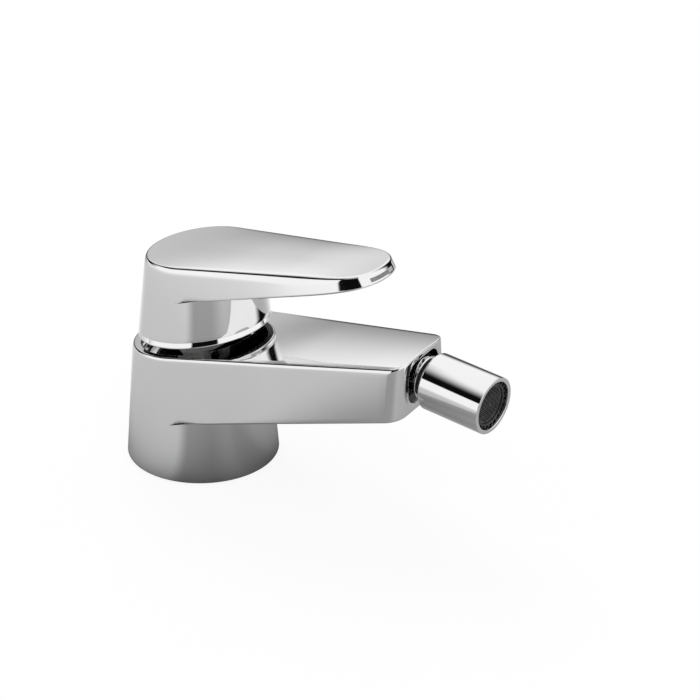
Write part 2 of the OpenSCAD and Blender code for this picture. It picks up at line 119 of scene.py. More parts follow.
@dataclass(frozen=True)
class Slope:
    """A flat face that rises along X: its height at X = 0 and its rise in degrees."""

    height: float
    rise: float

    @property
    def slant(self) -> float:
        """Rise per unit of X."""
        return math.tan(math.radians(self.rise))

    def z(self, x: Any) -> Any:
        """Height of the face at x."""
        return self.height + x * self.slant


@dataclass(frozen=True)
class Cone:
    """A drafted round wall on an upright axis."""

    centre_x: float
    radius: float
    at_height: float
    draft: float

    @property
    def flare(self) -> float:
        """Loss of radius per unit of height."""
        return math.tan(math.radians(self.draft))

    def r(self, z: Any) -> Any:
        """Radius of the wall at height z."""
        return self.radius - (z - self.at_height) * self.flare

    def inside(self, wall: float) -> "Cone":
        """The same wall's inner face, that much further in."""
        return Cone(self.centre_x, self.radius - wall, self.at_height, self.draft)

    def meet(self, angles: np.ndarray, face: Slope) -> np.ndarray:
        """Points where the wall meets a sloped face.

        Args:
            angles: Directions about the axis, in radians.
            face: The sloped face.

        Returns:
            One point for each angle.
        """
        cos = np.cos(angles)
        reach = self.radius + self.at_height * self.flare
        rise = face.height + face.slant * (self.centre_x + reach * cos)
        z = rise / (1 + face.slant * self.flare * cos)
        r = self.r(z)
        return np.stack([self.centre_x + r * cos, r * np.sin(angles), z], axis=-1)


@dataclass(frozen=True)
class Axle:
    """A turning axis with its own cross directions, for lathed pieces."""

    origin: Point
    along: Point
    across: Point

    def place(self, radius: Any, angle: Any, reach: Any) -> np.ndarray:
        """Points at a radius, an angle and a reach along the axis.

        Args:
            radius: Distance from the axis.
            angle: Turn about the axis, in radians.
            reach: Distance along the axis.

        Returns:
            The points, in the part's frame.
        """
        along = unit(np.array(self.along))
        first = unit(np.array(self.across) - along * np.dot(self.across, along))
        second = np.cross(along, first)
        radius, angle, reach = np.broadcast_arrays(radius, angle, reach)
        cos, sin = radius * np.cos(angle), radius * np.sin(angle)
        sides = cos[..., None] * first + sin[..., None] * second
        return np.array(self.origin) + sides + reach[..., None] * along


def upright(x: float, y: float) -> Axle:
    """An axis that stands on the deck at x and y."""
    return Axle((x, y, 0), (0, 0, 1), (1, 0, 0))


@dataclass
class Shell:
    """Collects patches of points and joins them into one mesh.

    Attributes:
        points: The patches' points, in millimetres.
        faces: Corners of each face.
        coats: Number of each face's finish.
        coat: Number of the finish that the next patches get.
        count: How many points there are so far.
    """

    points: List[np.ndarray] = field(default_factory=list)
    faces: List[Tuple[int, ...]] = field(default_factory=list)
    coats: List[int] = field(default_factory=list)
    coat: int = 0
    count: int = 0

    def grid(self, rows: np.ndarray, ring: bool = False) -> None:
        """Adds a patch of quads.

        Args:
            rows: Points as rows by columns.
            ring: Whether the last column joins the first.
        """
        height, width = rows.shape[:2]
        start = self.count
        self.points.append(rows.reshape(-1, 3))
        self.count += height * width
        for i in range(height - 1):
            for j in range(width if ring else width - 1):
                k = (j + 1) % width
                low, high = start + i * width, start + (i + 1) * width
                self.faces.append((low + j, low + k, high + k, high + j))
                self.coats.append(self.coat)

    def between(self, outer: np.ndarray, inner: np.ndarray, steps: int, ring: bool = False) -> None:
        """Adds a ruled patch between two rows of points, with that many faces across."""
        share = np.linspace(0, 1, steps + 1)[:, None, None]
        self.grid(outer[None] * (1 - share) + inner[None] * share, ring)

    def mesh(self, name: str) -> bpy.types.Mesh:
        """Makes the mesh, in metres, with shared points joined and faces turned outwards.

        Args:
            name: Name of the mesh.

        Returns:
            The mesh.
        """
        points = np.concatenate(self.points) * MM
        mesh = bpy.data.meshes.new(name)
        mesh.from_pydata(points.tolist(), [], self.faces)
        mesh.polygons.foreach_set("material_index", self.coats)
        tidy_mesh(mesh)
        return mesh


def tidy_mesh(mesh: bpy.types.Mesh) -> None:
    """Joins doubled points, drops empty faces, turns faces outwards and sets smooth shading.

    Args:
        mesh: The mesh, which is changed in place.
    """
    work = bmesh.new()
    work.from_mesh(mesh)
    bmesh.ops.remove_doubles(work, verts=work.verts, dist=MERGE_DISTANCE)
    bmesh.ops.dissolve_degenerate(work, edges=work.edges, dist=MERGE_DISTANCE)
    loose = [v for v in work.verts if not v.link_faces]
    bmesh.ops.delete(work, geom=loose, context="VERTS")
    bmesh.ops.recalc_face_normals(work, faces=work.faces)
    work.to_mesh(mesh)
    work.free()
    mesh.shade_smooth()
    mesh.set_sharp_from_angle(angle=SMOOTH_ANGLE)
    mesh.update()


def lathe(shell: Shell, axle: Axle, profile: Sequence[Pair], segments: int) -> None:
    """Turns a profile about an axle.

    Args:
        shell: Where the faces go.
        axle: The turning axis.
        profile: Pairs of radius and reach along the axis. A closed outline repeats its first pair.
        segments: Faces around the axis.
    """
    angles = np.arange(segments) * 2 * math.pi / segments
    radius = np.array([p[0] for p in profile])[:, None]
    reach = np.array([p[1] for p in profile])[:, None]
    shell.grid(axle.place(radius, angles[None], reach), ring=True)


def turned(name: str, axle: Axle, profile: Sequence[Pair], segments: int = 128) -> bpy.types.Mesh:
    """A mesh that is one turned profile.

    Args:
        name: Name of the mesh.
        axle: The turning axis.
        profile: Pairs of radius and reach along the axis. A closed outline repeats its first pair.
        segments: Faces around the axis.

    Returns:
        The mesh.
    """
    shell = Shell()
    lathe(shell, axle, profile, segments)
    return shell.mesh(name)


def rounded(outline: Sequence[Point], steps: int = 5) -> List[Pair]:
    """Rounds the corners of a closed outline.

    Args:
        outline: Radius, reach and corner radius of each corner, in order.
        steps: Points on each rounded corner, less one.

    Returns:
        A closed outline of radius and reach, with its first pair repeated at the end.
    """
    result: List[Pair] = []
    count = len(outline)
    for i, (x, y, corner) in enumerate(outline):
        here = np.array([x, y])
        if corner <= 0:
            result.append((x, y))
            continue
        back = unit(np.array(outline[i - 1][:2]) - here)
        ahead = unit(np.array(outline[(i + 1) % count][:2]) - here)
        arc = fillet(here[None], back[None], ahead[None], corner, steps)[:, 0]
        result.extend((point[0], point[1]) for point in arc)
    result.append(result[0])
    return result


def fillet(corner: np.ndarray, back: np.ndarray, ahead: np.ndarray, radius: Any, steps: int) -> np.ndarray:
    """Round arcs that join two directions at each corner.

    Args:
        corner: Corner points, one a row.
        back: Unit directions from the corners along the first faces.
        ahead: Unit directions from the corners along the second faces.
        radius: Radius of the arcs, one number or one a row.
        steps: Points on each arc, less one.

    Returns:
        Rows of points from the first faces to the second, as steps by corners.
    """
    radius = np.broadcast_to(np.asarray(radius, float), corner.shape[:1])[:, None]
    half = np.arccos(np.clip((back * ahead).sum(-1), -1, 1))[:, None] / 2
    bisector = unit(back + ahead)
    centre = corner + bisector * radius / np.sin(half)
    first = corner + back * radius / np.tan(half) - centre
    last = corner + ahead * radius / np.tan(half) - centre
    sweep = math.pi - 2 * half
    rows = []
    for i in range(steps + 1):
        share = i / steps
        swung = first * np.sin((1 - share) * sweep) + last * np.sin(share * sweep)
        rows.append(centre + swung / np.sin(sweep))
    return np.stack(rows)


def soft_edge(corner: np.ndarray, back: np.ndarray, ahead: np.ndarray, steps: int) -> np.ndarray:
    """Parabolic arcs that ease from one face into another.

    Args:
        corner: Corner points, one a row.
        back: Runs from the corners along the first faces.
        ahead: Runs from the corners along the second faces.
        steps: Points on each arc, less one.

    Returns:
        Rows of points from the first faces to the second, as steps by corners.
    """
    share = np.linspace(0, 1, steps + 1)[:, None, None]
    return corner + back * (1 - share) ** 2 + ahead * share ** 2


@dataclass(frozen=True)
class Teardrop:
    """A block with a round drafted head, whose sides leave the head on their tangents and run to an end.

    Attributes:
        cone: Wall of the head.
        top: Top face, before its crown.
        under: Underside of the arm.
        foot: Face that the head ends on below.
        taper: Angle of each side from X, in degrees.
        end: Shape of the end, seen from above.
        reach_top: X of the end at the top.
        reach_low: X of the end at the underside.
        end_size: Radius of the end's corners, or length of a round tip, at the top.
        end_size_low: The same at the underside.
        top_edge: Runs of the upper edge's round across the top and down the wall, along the sides.
        end_edge: The same at the end.
        low_edge: Radius of the arm's lower edge.
        foot_edge: Radius of the foot's edge.
        crown: Rise of the top along its middle.
        crown_power: How late the crown falls off towards the sides.
        crown_from: Stretch of X over which the crown comes in.
        crown_to: Stretch of X over which it goes out.
        roll: Fall of the top at its edge.
        roll_width: Width of that fall.
        band: Height of a flared band round the foot, or 0.
        band_step: How far the band is set in at its top.
        crease: How much the lower edge's radius grows near the head, as a share of itself.
        crease_at: Distance from the head's tangent at which it is widest.
        crease_width: Stretch over which it fades.
        crease_start: Distances over which the lower edge's radius comes in.
        tip_pull: Pulls of a round tip along its side and across its end, at the top.
        tip_pull_low: The same at the underside.
        side_bunch: How closely the points of a side gather at the head.
    """

    cone: Cone
    top: Slope
    under: Slope
    foot: Slope
    taper: float
    end: EndShape
    reach_top: float
    reach_low: float
    end_size: float
    end_size_low: float
    top_edge: Pair
    end_edge: Pair
    low_edge: float
    foot_edge: float
    crown: float
    crown_power: float
    crown_from: Pair
    crown_to: Pair
    roll: float = 0.13
    roll_width: float = 2.2
    band: float = 0.0
    band_step: float = 0.0
    crease: float = 1.6
    crease_at: float = 4.5
    crease_width: float = 5.0
    crease_start: Pair = (0.3, 4.0)
    tip_pull: Pair = (0.0, 0.0)
    tip_pull_low: Pair = (0.0, 0.0)
    side_bunch: float = 1.5
    side_steps: int = 44
    end_steps: int = 20
    back_steps: int = 96
    arc_steps: int = 12
    wall_steps: int = 14
    lip_steps: int = 4

    @property
    def tangent(self) -> float:
        """Direction in which the sides leave the head, in radians from +X."""
        return math.radians(90 - self.taper)

    def side_y(self, r: Any, x: Any) -> Any:
        """Half width between the straight sides at x, for a head of radius r."""
        slope = math.radians(self.taper)
        return (r + (self.cone.centre_x - x) * math.sin(slope)) / math.cos(slope)

    def half_plan(self, r: float, low: bool) -> np.ndarray:
        """Outline from the +Y tangent to the middle of the end.

        Args:
            r: Radius of the head at that height.
            low: Whether this is the lower outline.

        Returns:
            Points in plan, one a row.
        """
        reach = self.reach_low if low else self.reach_top
        size = self.end_size_low if low else self.end_size
        slope = math.radians(self.taper)
        start = np.array([self.cone.centre_x + r * math.sin(slope), r * math.cos(slope)])
        if self.end is EndShape.ROUND_CORNERS:
            corner_x = reach - size
            corner_y = self.side_y(r - size, corner_x)
            turn = np.linspace(self.tangent, 0, self.end_steps)
            arc = np.stack([corner_x + size * np.cos(turn), corner_y + size * np.sin(turn)], axis=-1)
            flat = np.linspace(1, 0, self.end_steps // 2)[1:, None]
            tail = np.concatenate([arc, np.concatenate([0 * flat + reach, flat * corner_y], axis=1)])
        else:
            tail = self.tip(r, low, np.linspace(0, 1, 2 * self.end_steps))
        share = np.linspace(0, 1, self.side_steps)[:-1, None] ** self.side_bunch
        side = start * (1 - share) + tail[0] * share
        return np.concatenate([side, tail])

    def tip(self, r: float, low: bool, share: np.ndarray) -> np.ndarray:
        """Curve of the round tip on the +Y side, tangent to the side and square to the axis at its end.

        Args:
            r: Radius of the head at that height.
            low: Whether this is the lower outline.
            share: Where to read the curve, from its start at 0 to its end at 1.

        Returns:
            Points in plan, one a row.
        """
        slope = math.radians(self.taper)
        reach = self.reach_low if low else self.reach_top
        length = self.end_size_low if low else self.end_size
        pull = self.tip_pull_low if low else self.tip_pull
        start = np.array([reach - length, self.side_y(r, reach - length)])
        first = start + pull[0] * length * np.array([math.cos(slope), -math.sin(slope)])
        second = np.array([reach, pull[1] * start[1]])
        last = np.array([reach, 0.0])
        t = share[:, None]
        return (start * (1 - t) ** 3 + 3 * first * t * (1 - t) ** 2
                + 3 * second * t ** 2 * (1 - t) + last * t ** 3)

    def plan(self, r: float, low: bool) -> np.ndarray:
        """Outline from the +Y tangent round the end to the -Y tangent."""
        half = self.half_plan(r, low)
        return np.concatenate([half, half[-2::-1] * np.array([1, -1])])

    def back_angles(self) -> np.ndarray:
        """Directions round the back of the head, from the -Y tangent to the +Y tangent, without those two."""
        return np.linspace(-self.tangent, self.tangent - 2 * math.pi, self.back_steps)[1:-1]

    def crown_height(self, x: np.ndarray, y: np.ndarray) -> np.ndarray:
        """How far the crowned top stands above its flat face.

        Args:
            x: X of the places.
            y: Y of the places.

        Returns:
            The heights.
        """
        width = np.maximum(self.side_y(self.cone.r(self.top.z(self.cone.centre_x)), x), CROWN_WIDTH)
        share = np.clip(np.abs(y) / width, 0, 1) ** self.crown_power
        ramp = smooth_step(x, *self.crown_from) * (1 - smooth_step(x, *self.crown_to))
        edge = np.clip(1 - (width - np.abs(y)) / self.roll_width, 0, 1)
        return ramp * (self.crown * (1 - share) - self.roll * edge ** 2)

    def top_z(self, x: np.ndarray, y: np.ndarray) -> np.ndarray:
        """Height of the crowned top."""
        return self.top.z(x) + self.crown_height(x, y)

    def on_top(self, plan: np.ndarray) -> np.ndarray:
        """Points of the crowned top above points in plan."""
        return np.concatenate([plan, self.top_z(plan[:, 0], plan[:, 1])[:, None]], axis=1)

    def tangent_radii(self) -> Pair:
        """Radii of the head where the sides leave it, at the top and at the underside."""
        leave = np.array([self.tangent])
        top, low = (self.cone.meet(leave, face)[0, 2] for face in (self.top, self.under))
        return self.cone.r(top), self.cone.r(low)

    def rims(self) -> Tuple[np.ndarray, np.ndarray, np.ndarray]:
        """Edges of the block's walls.

        Returns:
            The closed upper edge, the closed lower edge of the walls, and the points in front where the head
            meets the underside.
        """
        angles = self.back_angles()
        r_top, r_low = self.tangent_radii()
        front_top = self.on_top(self.plan(r_top, False))
        low_plan = self.plan(r_low, True)
        front_low = np.concatenate([low_plan, self.under.z(low_plan[:, :1])], axis=1)
        upper = np.concatenate([front_top, self.on_top(self.cone.meet(angles, self.top)[:, :2])])
        lower = np.concatenate([front_low, self.cone.meet(angles, self.under)])
        front = self.cone.meet(np.linspace(self.tangent, -self.tangent, len(front_low)), self.under)
        return upper, lower, front

    def inward(self, loop: np.ndarray) -> np.ndarray:
        """Level unit directions that point in from a closed outline."""
        step = unit(np.roll(loop[:, :2], -1, axis=0) - np.roll(loop[:, :2], 1, axis=0))
        return np.stack([step[:, 1], -step[:, 0]], axis=-1)

    def walls(self, shell: Shell) -> np.ndarray:
        """Builds the walls, the underside and the head below it.

        Args:
            shell: Where the faces go.

        Returns:
            The closed edge of the top face, inside its rounded edge.
        """
        upper, lower, front = self.rims()
        count = len(front)
        down = unit(lower - upper)
        plan_in = self.inward(upper)
        toward_end = smooth_step(upper[:, 0], self.reach_top - self.end_size, self.reach_top)
        run_in, run_down = (side + (end - side) * toward_end[:, None]
                            for side, end in zip(self.top_edge, self.end_edge))
        half_wall = np.linalg.norm(lower - upper, axis=1, keepdims=True) / 2
        run_down = np.minimum(run_down, half_wall)
        brink = self.on_top(upper[:, :2] + run_in * plan_in)
        slope = (self.on_top(brink[:, :2] + PROBE * plan_in)[:, 2] - brink[:, 2]) / PROBE
        corner = np.concatenate([upper[:, :2], (brink[:, 2] - slope * run_in[:, 0])[:, None]], axis=1)
        upper_arc = soft_edge(corner, brink - corner, run_down * down, self.arc_steps)
        low_in = self.inward(lower)
        low_in = unit(np.concatenate([low_in, low_in[:, :1] * self.under.slant], axis=1))
        ahead = lower[:, 0] - lower[0, 0]
        swell = 1 + self.crease * np.exp(-((ahead - self.crease_at) / self.crease_width) ** 2)
        ramp = smooth_step(ahead, *self.crease_start) * swell
        ramp[count:] = 0
        low_arc = fillet(lower, -down, low_in, np.maximum(self.low_edge * ramp, SHARP), self.arc_steps)
        share = np.linspace(0, 1, self.wall_steps + 1)[1:-1, None, None]
        wall = upper_arc[-1] * (1 - share) + low_arc[0] * share
        shell.grid(np.concatenate([upper_arc, wall, low_arc]), ring=True)
        shell.between(low_arc[-1][:count], front, self.wall_steps)
        self.head_foot(shell, np.concatenate([front, lower[count:]]))
        return upper_arc[0]

    def head_angles(self, count: int) -> np.ndarray:
        """Directions of the head's points, in the order of a closed edge with count points in front."""
        return np.concatenate([np.linspace(self.tangent, -self.tangent, count), self.back_angles()])

    def foot_arc(self, angles: np.ndarray) -> Tuple[np.ndarray, np.ndarray, np.ndarray]:
        """Rounded edge of the foot.

        Args:
            angles: Directions of its points, in radians.

        Returns:
            The rows of the round, from the wall in to the foot's face, and the unit directions up the wall
            and in along the foot's face.
        """
        bottom = self.cone.meet(angles, self.foot)
        up = unit(self.cone.meet(angles, self.under) - bottom)
        cos, sin = np.cos(angles), np.sin(angles)
        inside = -unit(np.stack([cos, sin, cos * self.foot.slant], axis=-1))
        return fillet(bottom, up, inside, self.foot_edge, self.arc_steps), up, inside

    def head_foot(self, shell: Shell, start: np.ndarray) -> None:
        """Builds the head down to its rounded foot, with a flared band there if it has one.

        Args:
            shell: Where the faces go.
            start: Closed edge that the head starts from, where it meets the underside.
        """
        angles = self.head_angles(len(start) - len(self.back_angles()))
        arc, up, inside = self.foot_arc(angles)
        share = np.linspace(0, 1, self.wall_steps)[:-1, None, None]
        if self.band:
            shoulder = self.cone.meet(angles, self.foot) + self.band * up
            lip = fillet(shoulder, up, inside, self.band_step / 3, self.lip_steps)
            shell.grid(np.concatenate([start[None] * (1 - share) + lip[0] * share, lip]), ring=True)
            start = shoulder + self.band_step * inside
            shell.between(lip[-1], start, 1, ring=True)
        shell.grid(np.concatenate([start[None] * (1 - share) + arc[0] * share, arc]), ring=True)

    def foot_edge_points(self) -> Tuple[np.ndarray, np.ndarray]:
        """Inner edge of the rounded foot, and the directions of its points."""
        angles = self.head_angles(len(self.plan(self.cone.radius, True)))
        return self.foot_arc(angles)[0][-1], angles


class Wire:
    """An output socket that takes part in shader arithmetic."""

    def __init__(self, graph: "Graph", socket: bpy.types.NodeSocket) -> None:
        """Holds a socket of a graph."""
        self.graph = graph
        self.socket = socket

    def maths(self, operation: str, *others: Union["Wire", Number], first: Optional[Number] = None) -> "Wire":
        """Adds a Math node.

        Args:
            operation: The node's operation.
            others: Further operands.
            first: A number that goes before this socket.

        Returns:
            The result.
        """
        values = [self, *others] if first is None else [first, self, *others]
        return self.graph.add("ShaderNodeMath", {"operation": operation}, dict(enumerate(values)))

    def __add__(self, other: Union["Wire", Number]) -> "Wire":
        """Sum."""
        return self.maths("ADD", other)

    __radd__ = __add__

    def __mul__(self, other: Union["Wire", Number]) -> "Wire":
        """Product."""
        return self.maths("MULTIPLY", other)

    __rmul__ = __mul__

    def __sub__(self, other: Union["Wire", Number]) -> "Wire":
        """Difference."""
        return self.maths("SUBTRACT", other)

    def __rsub__(self, other: Number) -> "Wire":
        """Difference from a number."""
        return self.maths("SUBTRACT", first=other)

    def step(self, low: Union["Wire", Number], high: Union["Wire", Number]) -> "Wire":
        """Eases from 0 at low to 1 at high."""
        settings = {"interpolation_type": "SMOOTHSTEP"}
        return self.graph.add("ShaderNodeMapRange", settings,
                              {"Value": self, "From Min": low, "From Max": high})


class Graph:
    """A node tree with one method that makes any node."""

    def __init__(self, tree: bpy.types.NodeTree) -> None:
        """Empties the tree."""
        self.tree = tree
        tree.nodes.clear()

    def add(self, kind: str, settings: Optional[Dict[str, Any]] = None,
            sockets: Optional[Dict[Union[str, int], Any]] = None, out: Union[str, int] = 0) -> Wire:
        """Adds a node.

        Args:
            kind: The node's type.
            settings: The node's settings, set first.
            sockets: Values or wires of its input sockets.
            out: The output that is returned.

        Returns:
            The chosen output.
        """
        node = self.tree.nodes.new(kind)
        for key, value in (settings or {}).items():
            setattr(node, key, value)
        for key, value in (sockets or {}).items():
            if isinstance(value, Wire):
                self.tree.links.new(value.socket, node.inputs[key])
            else:
                node.inputs[key].default_value = value
        return Wire(self, node.outputs[out]) if node.outputs else Wire(self, None)

    def mix(self, low: Union[Wire, Colour], high: Union[Wire, Colour], share: Union[Wire, Number]) -> Wire:
        """Mixes two colours."""
        ends = [c if isinstance(c, Wire) else (*c, 1.0) for c in (low, high)]
        return self.add("ShaderNodeMix", {"data_type": "RGBA"}, {0: share, 6: ends[0], 7: ends[1]}, out=2)

    def noise(self, place: Wire, scale: float, detail: float) -> Wire:
        """Soft noise from 0 to 1."""
        return self.add("ShaderNodeTexNoise", None, {"Vector": place, "Scale": scale, "Detail": detail})


def new_material(name: str) -> Tuple[bpy.types.Material, Graph]:
    """An empty material, with its graph."""
    material = bpy.data.materials.new(name)
    material.use_nodes = True
    return material, Graph(material.node_tree)


@dataclass(frozen=True)
class Finish:
    """A surface finish.

    Attributes:
        name: Name of the material.
        slot: Name of the part's material slot that it was meant for; not used.
        light: Lighter colour of the faint blotches.
        dark: Darker colour of the faint blotches.
        metallic: 1 for metal, 0 for the rest.
        smooth: Roughness where the surface is smoothest.
        rough: Roughness where it is roughest.
        grain_scale: Fineness of the grain.
        grain_depth: Depth of the grain, in millimetres.
        blotch_scale: Fineness of the blotches.
        specular: Strength of the mirror on what isn't metal.
    """

    name: str
    slot: str
    light: Colour
    dark: Colour
    metallic: float
    smooth: float
    rough: float
    grain_scale: float
    grain_depth: float
    blotch_scale: float
    specular: float = 0.5

    def grain(self, graph: Graph, place: Wire) -> Wire:
        """Height of the fine grain, from 0 to 1."""
        return graph.noise(place, self.grain_scale, detail=2.0)

    def build(self) -> bpy.types.Material:
        """Makes the material, once, laid out in the part's own coordinates in metres.

        Returns:
            The material.
        """
        existing = bpy.data.materials.get(self.name)
        if existing is not None:
            return existing
        material, graph = new_material(self.name)
        place = graph.add("ShaderNodeTexCoord", out="Object")
        blotch = graph.noise(place, self.blotch_scale, detail=4.0).step(0.3, 0.7)
        grain = self.grain(graph, place)
        wear = 0.6 * blotch + 0.4 * grain
        bump = graph.add("ShaderNodeBump", None,
                         {"Height": grain, "Strength": 1.0, "Distance": self.grain_depth * MM})
        shade = graph.add("ShaderNodeBsdfPrincipled", None, {
            "Base Color": graph.mix(self.dark, self.light, blotch),
            "Roughness": self.smooth + (self.rough - self.smooth) * wear,
            "Metallic": self.metallic,
            "Specular IOR Level": self.specular,
            "Normal": bump,
        })
        graph.add("ShaderNodeOutputMaterial", None, {"Surface": shade})
        return material


@dataclass(frozen=True)
class TurnedFinish(Finish):
    """A finish with fine rings left by a cutting tool."""

    def grain(self, graph: Graph, place: Wire) -> Wire:
        """Height of the tool marks, from 0 to 1."""
        sockets = {"Vector": place, "Scale": self.grain_scale, "Distortion": 1.5, "Detail": 1.0}
        return graph.add("ShaderNodeTexWave", {"wave_type": "BANDS", "bands_direction": "Z"}, sockets, out=1)


CHROME = Finish(
    "polished_chrome", "chrome", light=(0.9, 0.9, 0.905), dark=(0.875, 0.875, 0.88), metallic=1.0,
    smooth=0.03, rough=0.06, grain_scale=900.0, grain_depth=0.00012, blotch_scale=45.0)
CAST_INSIDE = Finish(
    "cast_inside", "chrome", light=(0.07, 0.07, 0.072), dark=(0.04, 0.04, 0.042), metallic=1.0,
    smooth=0.42, rough=0.6, grain_scale=1600.0, grain_depth=0.004, blotch_scale=80.0)
# Darker chrome for the mouth's floor and inner walls: painted shade for the deep recess.
PAINTED_RECESS_SHADE = Finish(
    "recess_painted_shade", "chrome", light=(0.24, 0.24, 0.245), dark=(0.17, 0.17, 0.175), metallic=1.0,
    smooth=0.07, rough=0.13, grain_scale=1600.0, grain_depth=0.0004, blotch_scale=80.0)
RUBBER = Finish(
    "black_rubber", "black_rubber", light=grey(0.035), dark=grey(0.02), metallic=0.0,
    smooth=0.5, rough=0.72, grain_scale=4200.0, grain_depth=0.012, blotch_scale=220.0, specular=0.35)
BLACK_PLASTIC = Finish(
    "black_moulding", "black_plastic", light=grey(0.022), dark=grey(0.01), metallic=0.0,
    smooth=0.28, rough=0.46, grain_scale=3600.0, grain_depth=0.006, blotch_scale=260.0, specular=0.45)
BLACK_WIRE = Finish(
    "black_mesh", "black_plastic", light=grey(0.075), dark=grey(0.04), metallic=0.0,
    smooth=0.25, rough=0.4, grain_scale=5200.0, grain_depth=0.003, blotch_scale=420.0)
WHITE_PLASTIC = Finish(
    "white_moulding", "white_plastic", light=(0.8, 0.8, 0.78), dark=(0.74, 0.74, 0.72), metallic=0.0,
    smooth=0.32, rough=0.48, grain_scale=2600.0, grain_depth=0.006, blotch_scale=140.0, specular=0.45)
CERAMIC = Finish(
    "lapped_ceramic", "ceramic", light=(0.86, 0.84, 0.8), dark=(0.8, 0.78, 0.74), metallic=0.0,
    smooth=0.1, rough=0.2, grain_scale=5200.0, grain_depth=0.002, blotch_scale=200.0)
BRASS = TurnedFinish(
    "turned_brass", "brass", light=(0.74, 0.58, 0.31), dark=(0.6, 0.46, 0.24), metallic=1.0,
    smooth=0.2, rough=0.36, grain_scale=900.0, grain_depth=0.01, blotch_scale=150.0)
STEEL = TurnedFinish(
    "bright_steel", "steel", light=(0.68, 0.68, 0.69), dark=(0.56, 0.56, 0.57), metallic=1.0,
    smooth=0.18, rough=0.32, grain_scale=1100.0, grain_depth=0.006, blotch_scale=150.0)
GREY_PLASTIC = Finish(
    "grey_cap", "grey_plastic", light=(0.44, 0.44, 0.45), dark=(0.38, 0.38, 0.39), metallic=0.0,
    smooth=0.18, rough=0.3, grain_scale=2600.0, grain_depth=0.004, blotch_scale=300.0)
DARK_ENAMEL = Finish(
    "dark_enamel", "dark_mark", light=grey(0.24), dark=grey(0.19), metallic=0.0,
    smooth=0.2, rough=0.34, grain_scale=3800.0, grain_depth=0.003, blotch_scale=700.0)
PALE_ENAMEL = Finish(
    "pale_enamel", "pale_mark", light=grey(0.5), dark=grey(0.42), metallic=0.0,
    smooth=0.2, rough=0.34, grain_scale=3800.0, grain_depth=0.003, blotch_scale=700.0)

CAD_FINISHES: Dict[str, Finish] = {
    "base_gasket": RUBBER, "port_seals": RUBBER, "socket_seal": RUBBER, "aerator_washer": RUBBER,
    "cartridge_base": WHITE_PLASTIC, "cartridge_housing": WHITE_PLASTIC, "lever_guide": WHITE_PLASTIC,
    "disc_carrier": WHITE_PLASTIC, "ball_seat": WHITE_PLASTIC, "flow_regulator": WHITE_PLASTIC,
    "fixed_disc": CERAMIC, "moving_disc": CERAMIC, "retaining_nut": BRASS, "pivot_pin": STEEL,
    "lever_stem": STEEL, "grub_screw": STEEL, "inner_screen": STEEL, "swivel_ball": CHROME,
}


def put(name: str, data: Any) -> bpy.types.Object:
    """A new object in the scene, with a mesh, lamp or camera as its data."""
    piece = bpy.data.objects.new(name, data)
    bpy.context.scene.collection.objects.link(piece)
    return piece


def add_piece(name: str, mesh: bpy.types.Mesh, finish: Finish, body: Body,
              nodes: Sequence[str]) -> bpy.types.Object:
    """Puts a mesh into the scene as a finished piece of the mixer.

    Args:
        name: Name of the piece.
        mesh: Its mesh, in metres in the part's frame.
        finish: Its finish, unless the mesh has finishes already.
        body: The body that it moves with.
        nodes: The solids that it stands for.

    Returns:
        The new object.
    """
    piece = put(name, mesh)
    if not mesh.materials:
        mesh.materials.append(finish.build())
    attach(piece, body.value)
    if nodes:
        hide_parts(*nodes)
    LOG.info("%s: %d faces on %s", name, len(mesh.polygons), body.value)
    return piece


def carve(mesh: bpy.types.Mesh, finishes: Sequence[Finish],
          cutters: Sequence[bpy.types.Mesh]) -> bpy.types.Mesh:
    """Cuts closed meshes out of a closed mesh.

    Args:
        mesh: The mesh that is cut.
        finishes: Finishes of the faces, in the order of their coats.
        cutters: What is taken away.

    Returns:
        A new mesh.
    """
    for finish in finishes:
        mesh.materials.append(finish.build())
    block = put("carve_block", mesh)
    tools = [put("carve_tool", cutter) for cutter in cutters]
    for tool in tools:
        cut = block.modifiers.new("cut", "BOOLEAN")
        cut.operation = "DIFFERENCE"
        cut.solver = "EXACT"
        cut.object = tool
    bpy.context.view_layer.update()
    result = bpy.data.meshes.new_from_object(block.evaluated_get(bpy.context.evaluated_depsgraph_get()))
    for spare in [block, *tools]:
        bpy.data.objects.remove(spare)
    tidy_mesh(result)
    return result


@dataclass(frozen=True)
class Layout:
    """Driving sizes that more than one sub-assembly shares.

    Attributes:
        top: Top face of the body, which the cartridge stands square to.
        side_taper: Angle of the sides of spout and lever from X, in degrees.
        spout_reach: X of the spout's end.
        well_r: Radius of the opening in the top face.
        well_depth: Depth of the opening.
        ball: Centre of the nozzle's ball.
        nozzle_tilt: Tilt of the nozzle from the socket's axis, in degrees.
        nozzle_turn: Direction of that tilt, in degrees from -Y towards the deck.
    """

    top: Slope = Slope(42.45, 9.9)
    side_taper: float = 5.4
    spout_reach: float = 83.0
    well_r: float = 19.3
    well_depth: float = 4.6
    ball: Point = (80.0, 0.0, 49.172)
    nozzle_tilt: float = 7.6
    nozzle_turn: float = 34.1

    @property
    def cartridge(self) -> Axle:
        """Axis of the cartridge, square to the body's top face."""
        rise = math.radians(self.top.rise)
        cos, sin = math.cos(rise), math.sin(rise)
        return Axle((0, 0, self.top.height), (-sin, 0, cos), (cos, 0, sin))

    @property
    def socket(self) -> Axle:
        """Level axis of the nozzle's socket."""
        return Axle(self.ball, (1, 0, 0), (0, 0, 1))

    @property
    def nozzle(self) -> Axle:
        """Axis of the tipped nozzle."""
        tilt = math.radians(self.nozzle_tilt)
        turn = math.radians(self.nozzle_turn)
        along = (math.cos(tilt), -math.sin(tilt) * math.cos(turn), -math.sin(tilt) * math.sin(turn))
        return Axle(self.ball, along, (0, 0, 1))


